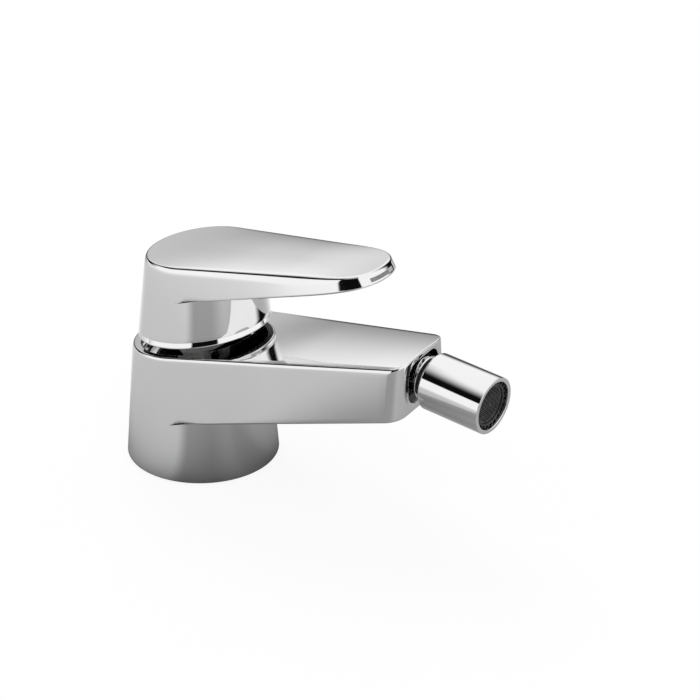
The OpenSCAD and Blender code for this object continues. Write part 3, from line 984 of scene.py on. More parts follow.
@dataclass
class MixerBody:
    """The cast column and spout in one piece, with its opening, mouth and fixing holes."""

    layout: Layout
    base_r: float = 25.0
    column_draft: float = 4.5
    under: Slope = Slope(18.8, 13.9)
    end_corner: float = 5.5
    well_edge: float = 0.35
    nut_bore_r: float = 15.2
    nut_bore_depth: float = 11.7
    cavity_r: float = 12.7
    cavity_depth: float = 25.3
    mouth_w: float = 18.6
    mouth_h: float = 13.6
    mouth_corner: float = 4.6
    mouth_wall: float = 1.3
    mouth_depth: float = 4.2
    mouth_edge: float = 0.4
    mouth_edge_sweep: float = 72.0
    rim_depth: float = 0.5
    socket_r: float = 5.45
    socket_depth: float = 5.8
    inlet_r: float = 4.5
    inlet_x: float = 4.358
    inlet_offset: float = 8.0
    stud_r: float = 3.4
    stud_offset: float = 12.5
    hole_depth: float = 10.0
    gasket_r: Pair = (18.7, 21.9)
    gasket_depth: float = 2.0
    overcut: float = 1.0
    face_rows: int = 56
    face_bunch: float = 1.6
    foot_rows: int = 12
    edge_steps: int = 6
    corner_steps: int = 12
    hole_segments: int = 64

    def block(self) -> Teardrop:
        """Outer form of the column and spout."""
        reach = self.layout.spout_reach
        return Teardrop(
            cone=Cone(0.0, self.base_r, 0.0, self.column_draft), top=self.layout.top, under=self.under,
            foot=Slope(0.0, 0.0), taper=self.layout.side_taper, end=EndShape.ROUND_CORNERS,
            reach_top=reach, reach_low=reach, end_size=self.end_corner, end_size_low=self.end_corner,
            top_edge=(0.8, 1.9), end_edge=(0.6, 0.7), low_edge=0.7, foot_edge=0.4,
            crown=0.55, crown_power=2.0, crown_from=(18.0, 46.0), crown_to=(140.0, 150.0),
            roll=0.18, roll_width=2.4)

    def top_face(self, shell: Shell, block: Teardrop, edge: np.ndarray) -> None:
        """Builds the top face round the opening, and the stepped bore below it.

        Args:
            shell: Where the faces go.
            block: The body's outer form.
            edge: Closed edge of the top face.
        """
        axle = self.layout.cartridge
        rise = math.radians(self.layout.top.rise)
        along = edge[:, 0] * math.cos(rise) + (edge[:, 2] - self.layout.top.height) * math.sin(rise)
        angles = np.arctan2(edge[:, 1], along)
        well_r, floor = self.layout.well_r, -self.layout.well_depth
        lip = axle.place(well_r + self.well_edge, angles, 0.0)
        rows = [edge]
        for share in np.linspace(0, 1, self.face_rows)[1:-1] ** self.face_bunch:
            rows.append(block.on_top(edge[:, :2] * (1 - share) + lip[:, :2] * share))
        rows.append(lip)
        profile = [(well_r + self.well_edge * (1 - math.sin(t)), self.well_edge * (math.cos(t) - 1))
                   for t in np.linspace(0, math.pi / 2, self.edge_steps)[1:]]
        profile += [(well_r, floor), (self.nut_bore_r, floor), (self.nut_bore_r, -self.nut_bore_depth),
                    (self.cavity_r, -self.nut_bore_depth), (self.cavity_r, -self.cavity_depth),
                    (0.0, -self.cavity_depth)]
        rows += [axle.place(r, angles, n) for r, n in profile]
        shell.grid(np.stack(rows), ring=True)

    def foot_face(self, shell: Shell, block: Teardrop) -> None:
        """Closes the foot with rings out to its rounded edge."""
        edge, _ = block.foot_edge_points()
        shell.between(edge, edge * 0, self.foot_rows, ring=True)

    def mouth_loop(self, x: float, grow: float) -> np.ndarray:
        """Closed outline of the mouth at one depth.

        Args:
            x: Where the outline lies.
            grow: How much further out it is than the plain mouth.

        Returns:
            The outline's points, one a row.
        """
        middle = self.layout.top.z(x) - self.mouth_wall - self.mouth_h / 2
        half_w = self.mouth_w / 2 - self.mouth_corner
        half_h = self.mouth_h / 2 - self.mouth_corner
        corner = self.mouth_corner + grow
        points = []
        for quarter, (side, rise) in enumerate(((1, 1), (-1, 1), (-1, -1), (1, -1))):
            for turn in np.linspace(0, math.pi / 2, self.corner_steps) + quarter * math.pi / 2:
                y = side * half_w + corner * math.cos(turn)
                points.append((x, y, middle + rise * half_h + corner * math.sin(turn)))
        return np.array(points)

    def mouth_cutter(self) -> bpy.types.Mesh:
        """Block that opens the mouth, with a flared edge, and with its floor and deep walls in darker chrome
        as painted shade.

        Returns:
            The cutter's mesh.
        """
        reach = self.layout.spout_reach
        start = reach - self.mouth_edge
        turn = np.linspace(0, math.radians(self.mouth_edge_sweep), self.edge_steps)
        flare = [(start + self.mouth_edge * math.sin(t), self.mouth_edge * (1 - math.cos(t))) for t in turn]
        end_x, end_grow = flare[-1]
        sections = [(reach - self.mouth_depth, 0.0), (start - self.rim_depth, 0.0), *flare,
                    (end_x + self.overcut / math.tan(turn[-1]), end_grow + self.overcut)]
        rows = [self.mouth_loop(x, grow) for x, grow in sections]
        closing = [0 * rows[0] + rows[0].mean(axis=0), *rows, 0 * rows[-1] + rows[-1].mean(axis=0)]
        shell = Shell()
        shell.grid(np.stack(closing[2:]), ring=True)
        # The floor and the deep part of the walls take the darker chrome: painted shade in the recess.
        shell.coat = 1
        shell.grid(np.stack(closing[:3]), ring=True)
        return shell.mesh("mouth_cutter")

    def groove(self) -> bpy.types.Mesh:
        """Ring cutter for the gasket's groove under the foot."""
        low, high = self.gasket_r
        outline = [(low, -self.overcut), (high, -self.overcut), (high, self.gasket_depth),
                   (low, self.gasket_depth), (low, -self.overcut)]
        return turned("groove_cutter", upright(0, 0), outline)

    def holes(self) -> List[bpy.types.Mesh]:
        """Round cutters for the socket's bore, the two inlets and the stud.

        Returns:
            The cutters' meshes.
        """
        bores = [(self.layout.socket, self.socket_r, -self.socket_depth,
                  self.layout.spout_reach - self.layout.ball[0])]
        for x, y, r in ((self.inlet_x, self.inlet_offset, self.inlet_r),
                        (self.inlet_x, -self.inlet_offset, self.inlet_r),
                        (-self.stud_offset, 0, self.stud_r)):
            bores.append((upright(x, y), r, -self.overcut, self.hole_depth))
        return [turned("hole_cutter", axle, [(0, start), (r, start), (r, end), (0, end)], self.hole_segments)
                for axle, r, start, end in bores]

    def build(self) -> None:
        """Makes the body and dresses it in chrome."""
        block = self.block()
        shell = Shell()
        edge = block.walls(shell)
        self.top_face(shell, block, edge)
        self.foot_face(shell, block)
        cutters = [self.mouth_cutter(), self.groove(), *self.holes()]
        mesh = carve(shell.mesh("mixer_body_solid"), (CHROME, PAINTED_RECESS_SHADE), cutters)
        add_piece("mixer_body_shell", mesh, CHROME, Body.FIXED, ["mixer_body"])


@dataclass
class LeverHandle:
    """The lever: a round hollow head with a teardrop arm, its marks and its screw cap.

    Attributes:
        mark_spans: Stretches of the tip's curve under the two marks, from its start on the -Y side at 0 past
            its end at 1.
        mark_band: Where the marks lie on the tip's wall, from its upper edge at 0 to its lower one at 1.
        cap_dome: Shares of the cap's radius, with the dome's height there.
    """

    layout: Layout
    head_r: float = 18.4
    head_offset: float = 2.4
    draft: float = 6.6
    top: Slope = Slope(72.77, 8.2)
    under: Slope = Slope(60.5, 14.9)
    reach: float = 68.4
    tip_length: float = 24.0
    tip_flare: float = 2.2
    tip_pull: Pair = (0.47, 0.965)
    tip_pull_low: Pair = (0.5, 0.85)
    skirt_gap: float = 3.1
    wall: float = 2.3
    ceiling: float = 5.6
    stem_r: float = 3.6
    boss_r: float = 7.4
    boss_foot: float = 16.0
    boss_height: float = 7.5
    cap_r: float = 2.4
    cap_height: float = 20.0
    cap_play: float = 0.05
    cap_hole_span: Pair = (9.0, 40.0)
    cap_sunk: float = 0.35
    cap_thick: float = 1.6
    cap_edge: float = 0.25
    cap_bevel: float = 0.08
    cap_dome: Tuple[Pair, ...] = ((0.6, 0.1), (0.3, 0.14), (0.0, 0.15))
    mark_spans: Tuple[Pair, Pair] = ((0.79, 1.02), (1.03, 1.1))
    mark_band: Pair = (0.4, 0.72)
    mark_proud: float = 0.05
    mark_sunk: float = 0.5
    mark_rows: int = 5
    mark_columns: int = 13
    face_rows: int = 31
    face_bunch: float = 1.3
    rim_rows: int = 4
    skirt_rows: int = 10
    roof_rows: int = 8
    cap_segments: int = 64
    boss_segments: int = 72

    def block(self) -> Teardrop:
        """Outer form of the lever."""
        rise = math.radians(self.layout.top.rise)
        skirt = self.layout.top.height + self.skirt_gap / math.cos(rise)
        return Teardrop(
            cone=Cone(self.head_offset, self.head_r, self.top.z(self.head_offset), self.draft),
            top=self.top, under=self.under, foot=Slope(skirt, self.layout.top.rise),
            taper=self.layout.side_taper, end=EndShape.ROUND_TIP,
            reach_top=self.reach, reach_low=self.reach + self.tip_flare,
            end_size=self.tip_length, end_size_low=self.tip_length + self.tip_flare,
            top_edge=(0.8, 2.8), end_edge=(0.6, 0.9), low_edge=0.6, foot_edge=0.45,
            crown=0.4, crown_power=2.6, crown_from=(-14.0, 24.0), crown_to=(40.0, 66.0),
            band=2.0, band_step=0.45, tip_pull=self.tip_pull, tip_pull_low=self.tip_pull_low)

    def top_face(self, shell: Shell, block: Teardrop, edge: np.ndarray) -> None:
        """Builds the crowned top in towards its own middle line.

        Args:
            shell: Where the faces go.
            block: The lever's outer form.
            edge: Closed edge of the top face.
        """
        spine_x = np.clip(edge[:, 0], self.head_offset, self.reach - self.tip_length)
        spine = np.stack([spine_x, 0 * spine_x], axis=-1)
        rows = [edge]
        for share in np.linspace(0, 1, self.face_rows)[1:] ** self.face_bunch:
            rows.append(block.on_top(edge[:, :2] * (1 - share) + spine * share))
        shell.grid(np.stack(rows), ring=True)

    def hollow(self, shell: Shell, block: Teardrop) -> None:
        """Builds the foot's rim, the inside of the skirt and its ceiling, all in the dark inner coat.

        Args:
            shell: Where the faces go.
            block: The lever's outer form.
        """
        edge, angles = block.foot_edge_points()
        inner = block.cone.inside(self.wall)
        lip = inner.meet(angles, block.foot)
        roof_face = Slope(self.top.z(self.head_offset) - self.ceiling, 0.0)
        roof = inner.meet(angles, roof_face)
        middle = np.array([self.head_offset, 0.0, roof_face.height])
        shell.coat = 1
        shell.between(edge, lip, self.rim_rows, ring=True)
        shell.between(lip, roof, self.skirt_rows, ring=True)
        shell.between(roof, 0 * roof + middle, self.roof_rows, ring=True)

    def boss(self) -> bpy.types.Mesh:
        """Boss that holds the stem, joined to the ceiling."""
        top = self.boss_foot + self.boss_height
        outline = rounded([(self.stem_r, self.boss_foot, 0.3), (self.boss_r, self.boss_foot, 0.6),
                           (self.boss_r, top, 0.0), (self.stem_r, top, 0.0)])
        return turned("lever_boss", self.layout.cartridge, outline, self.boss_segments)

    def cap_axle(self) -> Axle:
        """Axis of the screw cap, in the back of the skirt."""
        rise = math.radians(self.layout.top.rise)
        origin = self.layout.cartridge.place(0.0, 0.0, self.cap_height)
        return Axle(tuple(origin), (-math.cos(rise), 0, -math.sin(rise)), (0, 1, 0))

    def cap_hole(self) -> bpy.types.Mesh:
        """Round cutter for the screw cap's hole."""
        start, end = self.cap_hole_span
        r = self.cap_r + self.cap_play
        outline = [(0, start), (r, start), (r, end), (0, end)]
        return turned("cap_hole", self.cap_axle(), outline, self.cap_segments)

    def cap(self, block: Teardrop) -> bpy.types.Mesh:
        """Slightly domed cap, just inside the skirt's outer face.

        Args:
            block: The lever's outer form.

        Returns:
            The cap's mesh.
        """
        axle = self.cap_axle()
        start = np.array(axle.origin)
        along = unit(np.array(axle.along))
        reach = 0.0
        point = start
        while math.hypot(point[0] - block.cone.centre_x, point[1]) < block.cone.r(point[2]):
            reach += PROBE
            point = start + along * reach
        face = reach - self.cap_sunk
        back = face - self.cap_thick
        r = self.cap_r
        outline = [(0, back), (r, back), (r, face - self.cap_edge),
                   (r - self.cap_bevel, face - self.cap_bevel), (r - self.cap_edge, face)]
        outline += [(r * share, face + lift) for share, lift in self.cap_dome]
        return turned("screw_cap", axle, outline, self.cap_segments)

    def mark(self, block: Teardrop, span: Pair) -> bpy.types.Mesh:
        """Thin inlay that follows the face of the tip.

        Args:
            block: The lever's outer form.
            span: Stretch of the tip's curve, from its start on the -Y side at 0 past its end at 1.

        Returns:
            The inlay's mesh.
        """
        r_top, r_low = block.tangent_radii()
        run = np.linspace(*span, self.mark_columns)
        share = 1 - np.abs(1 - run)
        flip = np.stack([1 + 0 * run, np.where(run < 1, -1, 1)], axis=-1)
        top = block.on_top(block.tip(r_top, False, share) * flip)
        plan = block.tip(r_low, True, share) * flip
        low = np.concatenate([plan, block.under.z(plan[:, :1])], axis=1)
        out = unit(np.stack([np.gradient(top[:, 1]), -np.gradient(top[:, 0]), 0 * share], axis=-1))
        bands = np.linspace(*self.mark_band, self.mark_rows)
        face = np.stack([top * (1 - band) + low * band for band in bands])
        outer = face + self.mark_proud * out
        inner = face - self.mark_sunk * out
        shell = Shell()
        shell.grid(outer)
        shell.grid(inner)
        for rim in ((slice(None), 0), (slice(None), -1), (0, slice(None)), (-1, slice(None))):
            shell.grid(np.stack([outer[rim], inner[rim]]))
        return shell.mesh("lever_mark")

    def build(self) -> None:
        """Makes the lever with its boss, cap and marks."""
        block = self.block()
        shell = Shell()
        edge = block.walls(shell)
        self.top_face(shell, block, edge)
        self.hollow(shell, block)
        handle = carve(shell.mesh("lever_solid"), (CHROME, CAST_INSIDE), [self.cap_hole()])
        add_piece("lever_shell", handle, CHROME, Body.LEVER, ["lever_handle"])
        add_piece("lever_boss", self.boss(), CAST_INSIDE, Body.LEVER, [])
        add_piece("screw_cap", self.cap(block), GREY_PLASTIC, Body.LEVER, ["screw_plug"])
        for name, node, finish, span in (("dark_mark", "warm_mark", DARK_ENAMEL, self.mark_spans[0]),
                                         ("pale_mark", "cool_mark", PALE_ENAMEL, self.mark_spans[1])):
            add_piece(name, self.mark(block, span), finish, Body.LEVER, [node])


@dataclass
class CoverRing:
    """The plated dome that closes the opening under the lever."""

    layout: Layout
    neck_r: float = 9.4
    rim_r: float = 19.0
    lip: float = 1.0
    rise: float = 2.4
    thick: float = 0.9
    swell: float = 0.25
    dome_steps: int = 16
    segments: int = 160

    def build(self) -> None:
        """Makes the gently swelling dome, with its rim on the floor of the opening."""
        floor = -self.layout.well_depth
        rim = floor + self.lip
        crest = rim + self.rise
        dome = []
        for share in np.linspace(0, 1, self.dome_steps)[1:-1]:
            height = rim + self.rise * (1 - share) + self.swell * math.sin(math.pi * share)
            dome.append((self.neck_r + (self.rim_r - self.neck_r) * share, height, 0.0))
        outline = rounded([
            (self.neck_r, crest - self.thick, 0.1), (self.neck_r, crest, 0.3), *dome,
            (self.rim_r, rim, 0.35), (self.rim_r, floor, 0.1), (self.rim_r - self.thick, floor, 0.03)])
        mesh = turned("cover_ring", self.layout.cartridge, outline, self.segments)
        add_piece("cover_ring_shell", mesh, CHROME, Body.FIXED, ["cover_ring"])


@dataclass
class SpoutSocket:
    """The screwed ring in the spout's mouth that holds the ball."""

    layout: Layout
    cup_r: float = 4.8
    ring_r: float = 5.35
    flange_r: float = 5.9
    flange_t: float = 0.8
    back: float = -2.6
    throat: float = 2.6
    front: float = 3.0
    mouth_r: float = 4.3
    mouth_bevel: Pair = (0.12, 0.1)
    cup_steps: int = 8
    segments: int = 96

    def build(self) -> None:
        """Makes the ring round the ball, with a rounded flange."""
        bevel_r, bevel_depth = self.mouth_bevel
        shoulder = self.front - self.flange_t
        cup = [(math.sqrt(self.cup_r ** 2 - a * a), a) for a in np.linspace(0, self.throat, self.cup_steps)]
        inside = [(self.cup_r, self.back), *cup, (self.mouth_r, self.front - bevel_depth),
                  (self.mouth_r + bevel_r, self.front)]
        outside = rounded([(*inside[-1], 0.0), (self.flange_r, self.front, 0.25),
                           (self.flange_r, shoulder, 0.2), (self.ring_r, shoulder, 0.0),
                           (self.ring_r, self.back, 0.0)])[1:-1]
        mesh = turned("socket_ring", self.layout.socket, inside + outside + inside[:1], self.segments)
        add_piece("socket_ring_shell", mesh, CHROME, Body.FIXED, ["socket_ring"])


@dataclass
class Nozzle:
    """The tipped nozzle: collar, seal, sleeve, aerator ring and woven outlet screen.

    Attributes:
        tooth_taper: Width of a tooth's inner edge, as a share of its outer one.
        tooth_narrow: Width of a tooth's top, as a share of its root.
        tooth_lean: Radius of a tooth's top, as a share of its root's.
        weave: How far a wire swings, as a share of its radius.
        dot: Outline of the screen's centre dot, as radius and height above the screen's front.
    """

    layout: Layout
    sleeve_r: float = 9.2
    bore_r: float = 7.8
    sleeve_start: float = 7.06
    sleeve_end: float = 29.26
    back_wall: float = 2.2
    neck_r: float = 3.25
    collar_r: float = 7.1
    collar_start: float = 4.35
    collar_end: float = 4.9
    seal_r: float = 6.1
    housing_r: float = 7.7
    housing_in_r: float = 6.1
    housing_start: float = 10.76
    housing_end: float = 28.26
    housing_step: float = 0.55
    housing_lip: float = 0.8
    teeth: int = 24
    tooth_w: float = 0.42
    tooth_d: float = 0.8
    tooth_play: float = 0.02
    tooth_root: float = 0.05
    tooth_short: float = 0.1
    tooth_taper: float = 0.8
    tooth_narrow: float = 0.75
    tooth_lean: float = 0.985
    screen_r: float = 6.05
    screen_front: float = 27.76
    screen_rim: Pair = (0.45, 0.5)
    wire_r: float = 0.11
    wire_pitch: float = 0.8
    wire_depth: float = 0.25
    wire_sides: int = 6
    wire_steps: int = 4
    weave: float = 0.75
    dot: Tuple[Pair, ...] = ((0.0, -0.4), (0.42, -0.4), (0.42, 0.05), (0.3, 0.14), (0.0, 0.16))
    dot_segments: int = 24
    sleeve_segments: int = 192
    segments: int = 128
    small_segments: int = 96

    def sleeve(self) -> bpy.types.Mesh:
        """Straight sleeve with softly broken edges."""
        inside = self.sleeve_start + self.back_wall
        outline = rounded([
            (self.neck_r, self.sleeve_start, 0.1), (self.sleeve_r, self.sleeve_start, 0.8),
            (self.sleeve_r, self.sleeve_end, 0.3), (self.bore_r, self.sleeve_end, 0.25),
            (self.bore_r, inside, 0.2), (self.neck_r, inside, 0.1)], 6)
        return turned("nozzle_sleeve", self.layout.nozzle, outline, self.sleeve_segments)

    def collar(self) -> bpy.types.Mesh:
        """Thin collar behind the sleeve."""
        outline = rounded([(self.neck_r, self.collar_start, 0.05), (self.collar_r, self.collar_start, 0.2),
                           (self.collar_r, self.collar_end, 0.2), (self.neck_r, self.collar_end, 0.05)])
        return turned("nozzle_collar", self.layout.nozzle, outline, self.segments)

    def seal(self) -> bpy.types.Mesh:
        """Round rubber ring between the collar and the sleeve."""
        outline = rounded([(self.neck_r, self.collar_end, 0.1), (self.seal_r, self.collar_end, 0.7),
                           (self.seal_r, self.sleeve_start, 0.7), (self.neck_r, self.sleeve_start, 0.1)])
        return turned("collar_seal", self.layout.nozzle, outline, self.small_segments)

    def tooth(self, shell: Shell, turn: float) -> None:
        """Adds one small tooth to the face of the aerator ring.

        Args:
            shell: Where the faces go.
            turn: Direction of the tooth about the axis, in radians.
        """
        outer, inner = self.housing_r - self.tooth_play, self.housing_r - self.tooth_d
        radius = np.array([outer, outer, inner, inner])
        spread = self.tooth_w / self.housing_r * np.array([-1, 1, self.tooth_taper, -self.tooth_taper])
        root = self.housing_end - self.housing_step - self.tooth_root
        low = self.layout.nozzle.place(radius, turn + spread, root)
        high = self.layout.nozzle.place(radius * self.tooth_lean, turn + spread * self.tooth_narrow,
                                        self.housing_end - self.tooth_short)
        shell.grid(np.stack([0 * low + low.mean(axis=0), low, high, 0 * high + high.mean(axis=0)]), ring=True)

    def housing(self) -> bpy.types.Mesh:
        """Black aerator ring with a stepped face and a crown of small teeth.

        Returns:
            The ring's mesh.
        """
        shell = Shell()
        end = self.housing_end
        step = end - self.housing_step
        lip_r = self.housing_in_r + self.housing_lip
        outline = rounded([
            (self.housing_in_r, self.housing_start, 0.1), (self.housing_r, self.housing_start, 0.1),
            (self.housing_r, step, 0.1), (lip_r, step, 0.1), (lip_r, end, 0.12),
            (self.housing_in_r, end, 0.12)])
        lathe(shell, self.layout.nozzle, outline, self.segments)
        for i in range(self.teeth):
            self.tooth(shell, i * 2 * math.pi / self.teeth)
        return shell.mesh("aerator_housing")

    def wire(self, shell: Shell, offset: float, turn: float, phase: float) -> None:
        """Adds one woven wire of the outlet screen.

        Args:
            shell: Where the faces go.
            offset: Distance of the wire from the screen's middle.
            turn: Direction of the wire about the axis, in radians.
            phase: Which way it weaves first, 0 or 1.
        """
        half = math.sqrt(self.screen_r ** 2 - offset ** 2)
        run = np.linspace(-half, half, int(2 * half / self.wire_pitch * self.wire_steps))
        swing = self.weave * self.wire_r * np.cos(math.pi * (run / self.wire_pitch + phase))
        ring = np.arange(self.wire_sides) * 2 * math.pi / self.wire_sides
        side = offset + self.wire_r * np.cos(ring)[None, :] + 0 * run[:, None]
        middle = self.screen_front - self.wire_depth
        height = middle + swing[:, None] + self.wire_r * np.sin(ring)[None, :]
        along = run[:, None] + 0 * side
        tube = self.layout.nozzle.place(np.hypot(along, side), np.arctan2(side, along) + turn, height)
        caps = [tube[:1] * 0 + tube[0].mean(axis=0), tube, tube[:1] * 0 + tube[-1].mean(axis=0)]
        shell.grid(np.concatenate(caps), ring=True)

    def screen(self) -> bpy.types.Mesh:
        """Woven outlet screen with its rim and centre dot.

        Returns:
            The screen's mesh.
        """
        shell = Shell()
        count = int((self.screen_r - 2 * self.wire_r) / self.wire_pitch)
        for turn in (0.0, math.pi / 2):
            for i in range(-count, count + 1):
                self.wire(shell, i * self.wire_pitch, turn, (i + (turn > 0)) % 2)
        front = self.screen_front
        inner, back = self.screen_r - self.screen_rim[0], front - self.screen_rim[1]
        rim = rounded([(inner, back, 0.1), (self.screen_r, back, 0.1), (self.screen_r, front, 0.1),
                       (inner, front, 0.15)])
        lathe(shell, self.layout.nozzle, rim, self.small_segments)
        lathe(shell, self.layout.nozzle, [(r, front + lift) for r, lift in self.dot], self.dot_segments)
        return shell.mesh("outlet_screen")

    def build(self) -> None:
        """Makes the nozzle's visible pieces."""
        add_piece("nozzle_sleeve_shell", self.sleeve(), CHROME, Body.NOZZLE, ["nozzle_sleeve"])
        add_piece("nozzle_collar_shell", self.collar(), CHROME, Body.NOZZLE, ["nozzle_collar"])
        add_piece("collar_seal_ring", self.seal(), RUBBER, Body.NOZZLE, ["collar_seal"])
        add_piece("aerator_ring", self.housing(), BLACK_PLASTIC, Body.NOZZLE, ["aerator_housing"])
        add_piece("woven_screen", self.screen(), BLACK_WIRE, Body.NOZZLE, ["outlet_screen"])


@dataclass(frozen=True)
class Sector:
    """A stretch of directions: the degrees over which it comes in, and those over which it goes out."""

    start: Pair
    end: Pair

    def mask(self, swing: Wire) -> Wire:
        """1 inside the stretch and 0 outside it."""
        return swing.step(*self.start) * (1 - swing.step(*self.end))


@dataclass
class Studio:
    """Camera, floor, lamps and the cards that a polished surface mirrors.

    Sizes are metres. Directions are degrees from the camera's side, to the right above 0, heights are degrees
    above level, and tones are shares of white.

    Attributes:
        floor_glow: Share of plain white in the floor, near the part and far from it.
        card_fade: Distance over which the grey card under the part turns to white.
        gap: Darker sector of that card in front, with its loss of tone.
        side: Sector of that card to the right, darkened near the part as painted shade of the spout, with its
            loss of tone.
        rear: Directions over which the back of that card comes in, with its loss of tone and its glow.
        contact_shadow_r: Radius of the painted contact shadow round the foot, with its fade and its loss of
            tone.
        over_height: Heights over which the overhead light comes in, in front and behind.
        left_card: Upright card to the left, with the heights over which it ends.
        front_card: Dimmer card over the camera, with its level and the heights over which it comes in.
    """

    azimuth: float = -58.96
    elevation: float = 27.331
    distance: float = 0.8
    aim: Point = (0.0465, 0.01665, 0.04062)
    lens: float = 128.57
    sensor: float = 36.0
    near_clip: float = 0.01
    soft_light: float = 0.72
    stage_x: float = 0.03
    floor_drop: float = 0.0006
    floor_r: float = 4.0
    floor_grey: float = 0.9
    floor_glow: Pair = (0.9, 1.0)
    floor_glow_from: Pair = (0.25, 0.7)
    card_r: float = 1.372
    card_grey: float = 0.5
    card_fade: float = 0.52
    gap: Sector = Sector((-31.0, -14.0), (10.0, 40.0))
    gap_loss: float = 0.47
    side: Sector = Sector((10.0, 45.0), (110.0, 150.0))
    spout_shade_loss: float = 0.3
    rear: Pair = (125.0, 160.0)
    rear_from: Pair = (0.1, 0.3)
    rear_loss: float = 0.88
    rear_glow: float = 0.75
    contact_shadow_r: float = 0.025
    contact_shadow_fade: float = 0.014
    contact_shadow_loss: float = 0.48
    tent_r: float = 1.4
    tent_z: float = 0.04
    tent_dark: float = 0.004
    tent_rear: Pair = (124.0, 154.0)
    over_height: Pair = (38.0, 70.0)
    over_height_rear: Pair = (1.0, 27.0)
    left_card: Sector = Sector((-128.0, -95.0), (-30.0, -26.0))
    left_top: Pair = (21.0, 23.5)
    right_card: Sector = Sector((16.0, 20.0), (106.0, 122.0))
    front_card: Sector = Sector((-34.0, -16.0), (20.0, 34.0))
    front_height: Pair = (22.0, 42.0)
    front_level: float = 0.45
    lamp_aim: Point = (0.04, 0.0, 0.04)

    def camera(self) -> None:
        """Sets the camera at the photograph's viewing angle."""
        data = bpy.data.cameras.new("camera")
        data.lens = self.lens
        data.sensor_width = self.sensor
        data.clip_start = self.near_clip
        turn, rise = math.radians(self.azimuth), math.radians(self.elevation)
        right = Vector((-math.sin(turn), math.cos(turn), 0.0))
        back = Vector((math.cos(rise) * math.cos(turn), math.cos(rise) * math.sin(turn), math.sin(rise)))
        axes = Matrix((right, back.cross(right), back)).transposed().to_4x4()
        camera = put("camera", data)
        camera.matrix_world = Matrix.Translation(Vector(self.aim) + self.distance * back) @ axes
        bpy.context.scene.camera = camera

    def seen(self, graph: Graph) -> Wire:
        """1 where the background is looked at straight, mirrored or through glass, and 0 in other light."""
        path = [graph.add("ShaderNodeLightPath", out=name)
                for name in ("Is Camera Ray", "Is Glossy Ray", "Is Transmission Ray")]
        return (path[0] + path[1] + path[2]).maths("MINIMUM", 1.0)

    def world(self) -> None:
        """White backdrop with plain soft light from all round."""
        world = bpy.data.worlds.new("studio")
        bpy.context.scene.world = world
        world.use_nodes = True
        graph = Graph(world.node_tree)
        tone = graph.mix(grey(self.soft_light), WHITE, self.seen(graph))
        light = graph.add("ShaderNodeBackground", None, {"Color": tone, "Strength": 1.0})
        graph.add("ShaderNodeOutputWorld", None, {"Surface": light})

    def stage_piece(self, name: str, work: bmesh.types.BMesh, z: float) -> bpy.types.Object:
        """Puts a piece of the studio round the part.

        Args:
            name: Name of the piece.
            work: Its mesh, which is used up.
            z: Height of its middle.

        Returns:
            The piece.
        """
        mesh = bpy.data.meshes.new(name)
        work.to_mesh(mesh)
        work.free()
        piece = put(name, mesh)
        piece.location = (self.stage_x, 0.0, z)
        return piece

    def disc(self, name: str, radius: float, z: float) -> bpy.types.Object:
        """A flat round piece of the studio."""
        work = bmesh.new()
        bmesh.ops.create_circle(work, cap_ends=True, segments=96, radius=radius)
        return self.stage_piece(name, work, z)

    def floor(self) -> None:
        """Pale floor that keeps a faint shadow."""
        material, graph = new_material("pale_floor")
        place = graph.add("ShaderNodeTexCoord", out="Object")
        out = graph.add("ShaderNodeVectorMath", {"operation": "LENGTH"}, {0: place}, out="Value")
        near, far = self.floor_glow
        share = (near + (far - near) * out.step(*self.floor_glow_from)) * self.seen(graph)
        matt = graph.add("ShaderNodeBsdfDiffuse", None, {"Color": (*grey(self.floor_grey), 1.0)})
        white = graph.add("ShaderNodeEmission", None, {"Color": (*WHITE, 1.0), "Strength": 1.0})
        both = graph.add("ShaderNodeMixShader", None, {0: share, 1: matt, 2: white})
        graph.add("ShaderNodeOutputMaterial", None, {"Surface": both})
        self.disc("floor", self.floor_r, -self.floor_drop).data.materials.append(material)

    def swing(self, x: Wire, y: Wire) -> Wire:
        """Direction of a place seen from the part.

        Args:
            x: The place's X.
            y: The place's Y.

        Returns:
            Degrees from the camera's side, to the right above 0.
        """
        turn = math.radians(self.azimuth)
        ahead = math.cos(turn) * x + math.sin(turn) * y
        aside = math.cos(turn) * y - math.sin(turn) * x
        return aside.maths("ARCTAN2", ahead) * math.degrees(1)

    def ground_card(self) -> None:
        """Grey card under the part, paler further out, with painted shade round the foot and beside the
        spout, which only mirrors show.
        """
        material, graph = new_material("grey_card")
        place = graph.add("ShaderNodeTexCoord", out="Object")
        x, y = (graph.add("ShaderNodeSeparateXYZ", None, {0: place}, out=i) for i in range(2))
        x = x + self.stage_x
        out = (x * x + y * y).maths("SQRT")
        near = (out * out * (-1 / self.card_fade ** 2)).maths("EXPONENT")
        swing = self.swing(x, y)
        rear = swing.maths("ABSOLUTE").step(*self.rear)
        # Painted contact shadow: the card darkens round the foot.
        painted_contact_shadow = ((out - self.contact_shadow_r) * (-1 / self.contact_shadow_fade)).maths("EXPONENT").maths("MINIMUM", 1.0)
        # The sector to the right, near the part, is darkened as painted shade of the spout.
        tone = 1 - self.gap_loss * self.gap.mask(swing) - self.spout_shade_loss * self.side.mask(swing) * near
        tone = tone - self.rear_loss * rear * out.step(*self.rear_from)
        tone = tone * (1 - self.contact_shadow_loss * painted_contact_shadow)
        paint = graph.mix(BLACK, grey(self.card_grey), tone)
        matt = graph.add("ShaderNodeBsdfDiffuse", None, {"Color": paint})
        white = graph.add("ShaderNodeEmission", None, {"Color": graph.mix(BLACK, WHITE, tone)})
        glow = 1 - near * (1 - self.rear_glow * rear)
        both = graph.add("ShaderNodeMixShader", None, {0: glow, 1: matt, 2: white})
        graph.add("ShaderNodeOutputMaterial", None, {"Surface": both})
        piece = self.disc("ground_card", self.card_r, -self.floor_drop / 2)
        piece.data.materials.append(material)
        self.only_mirrored(piece)

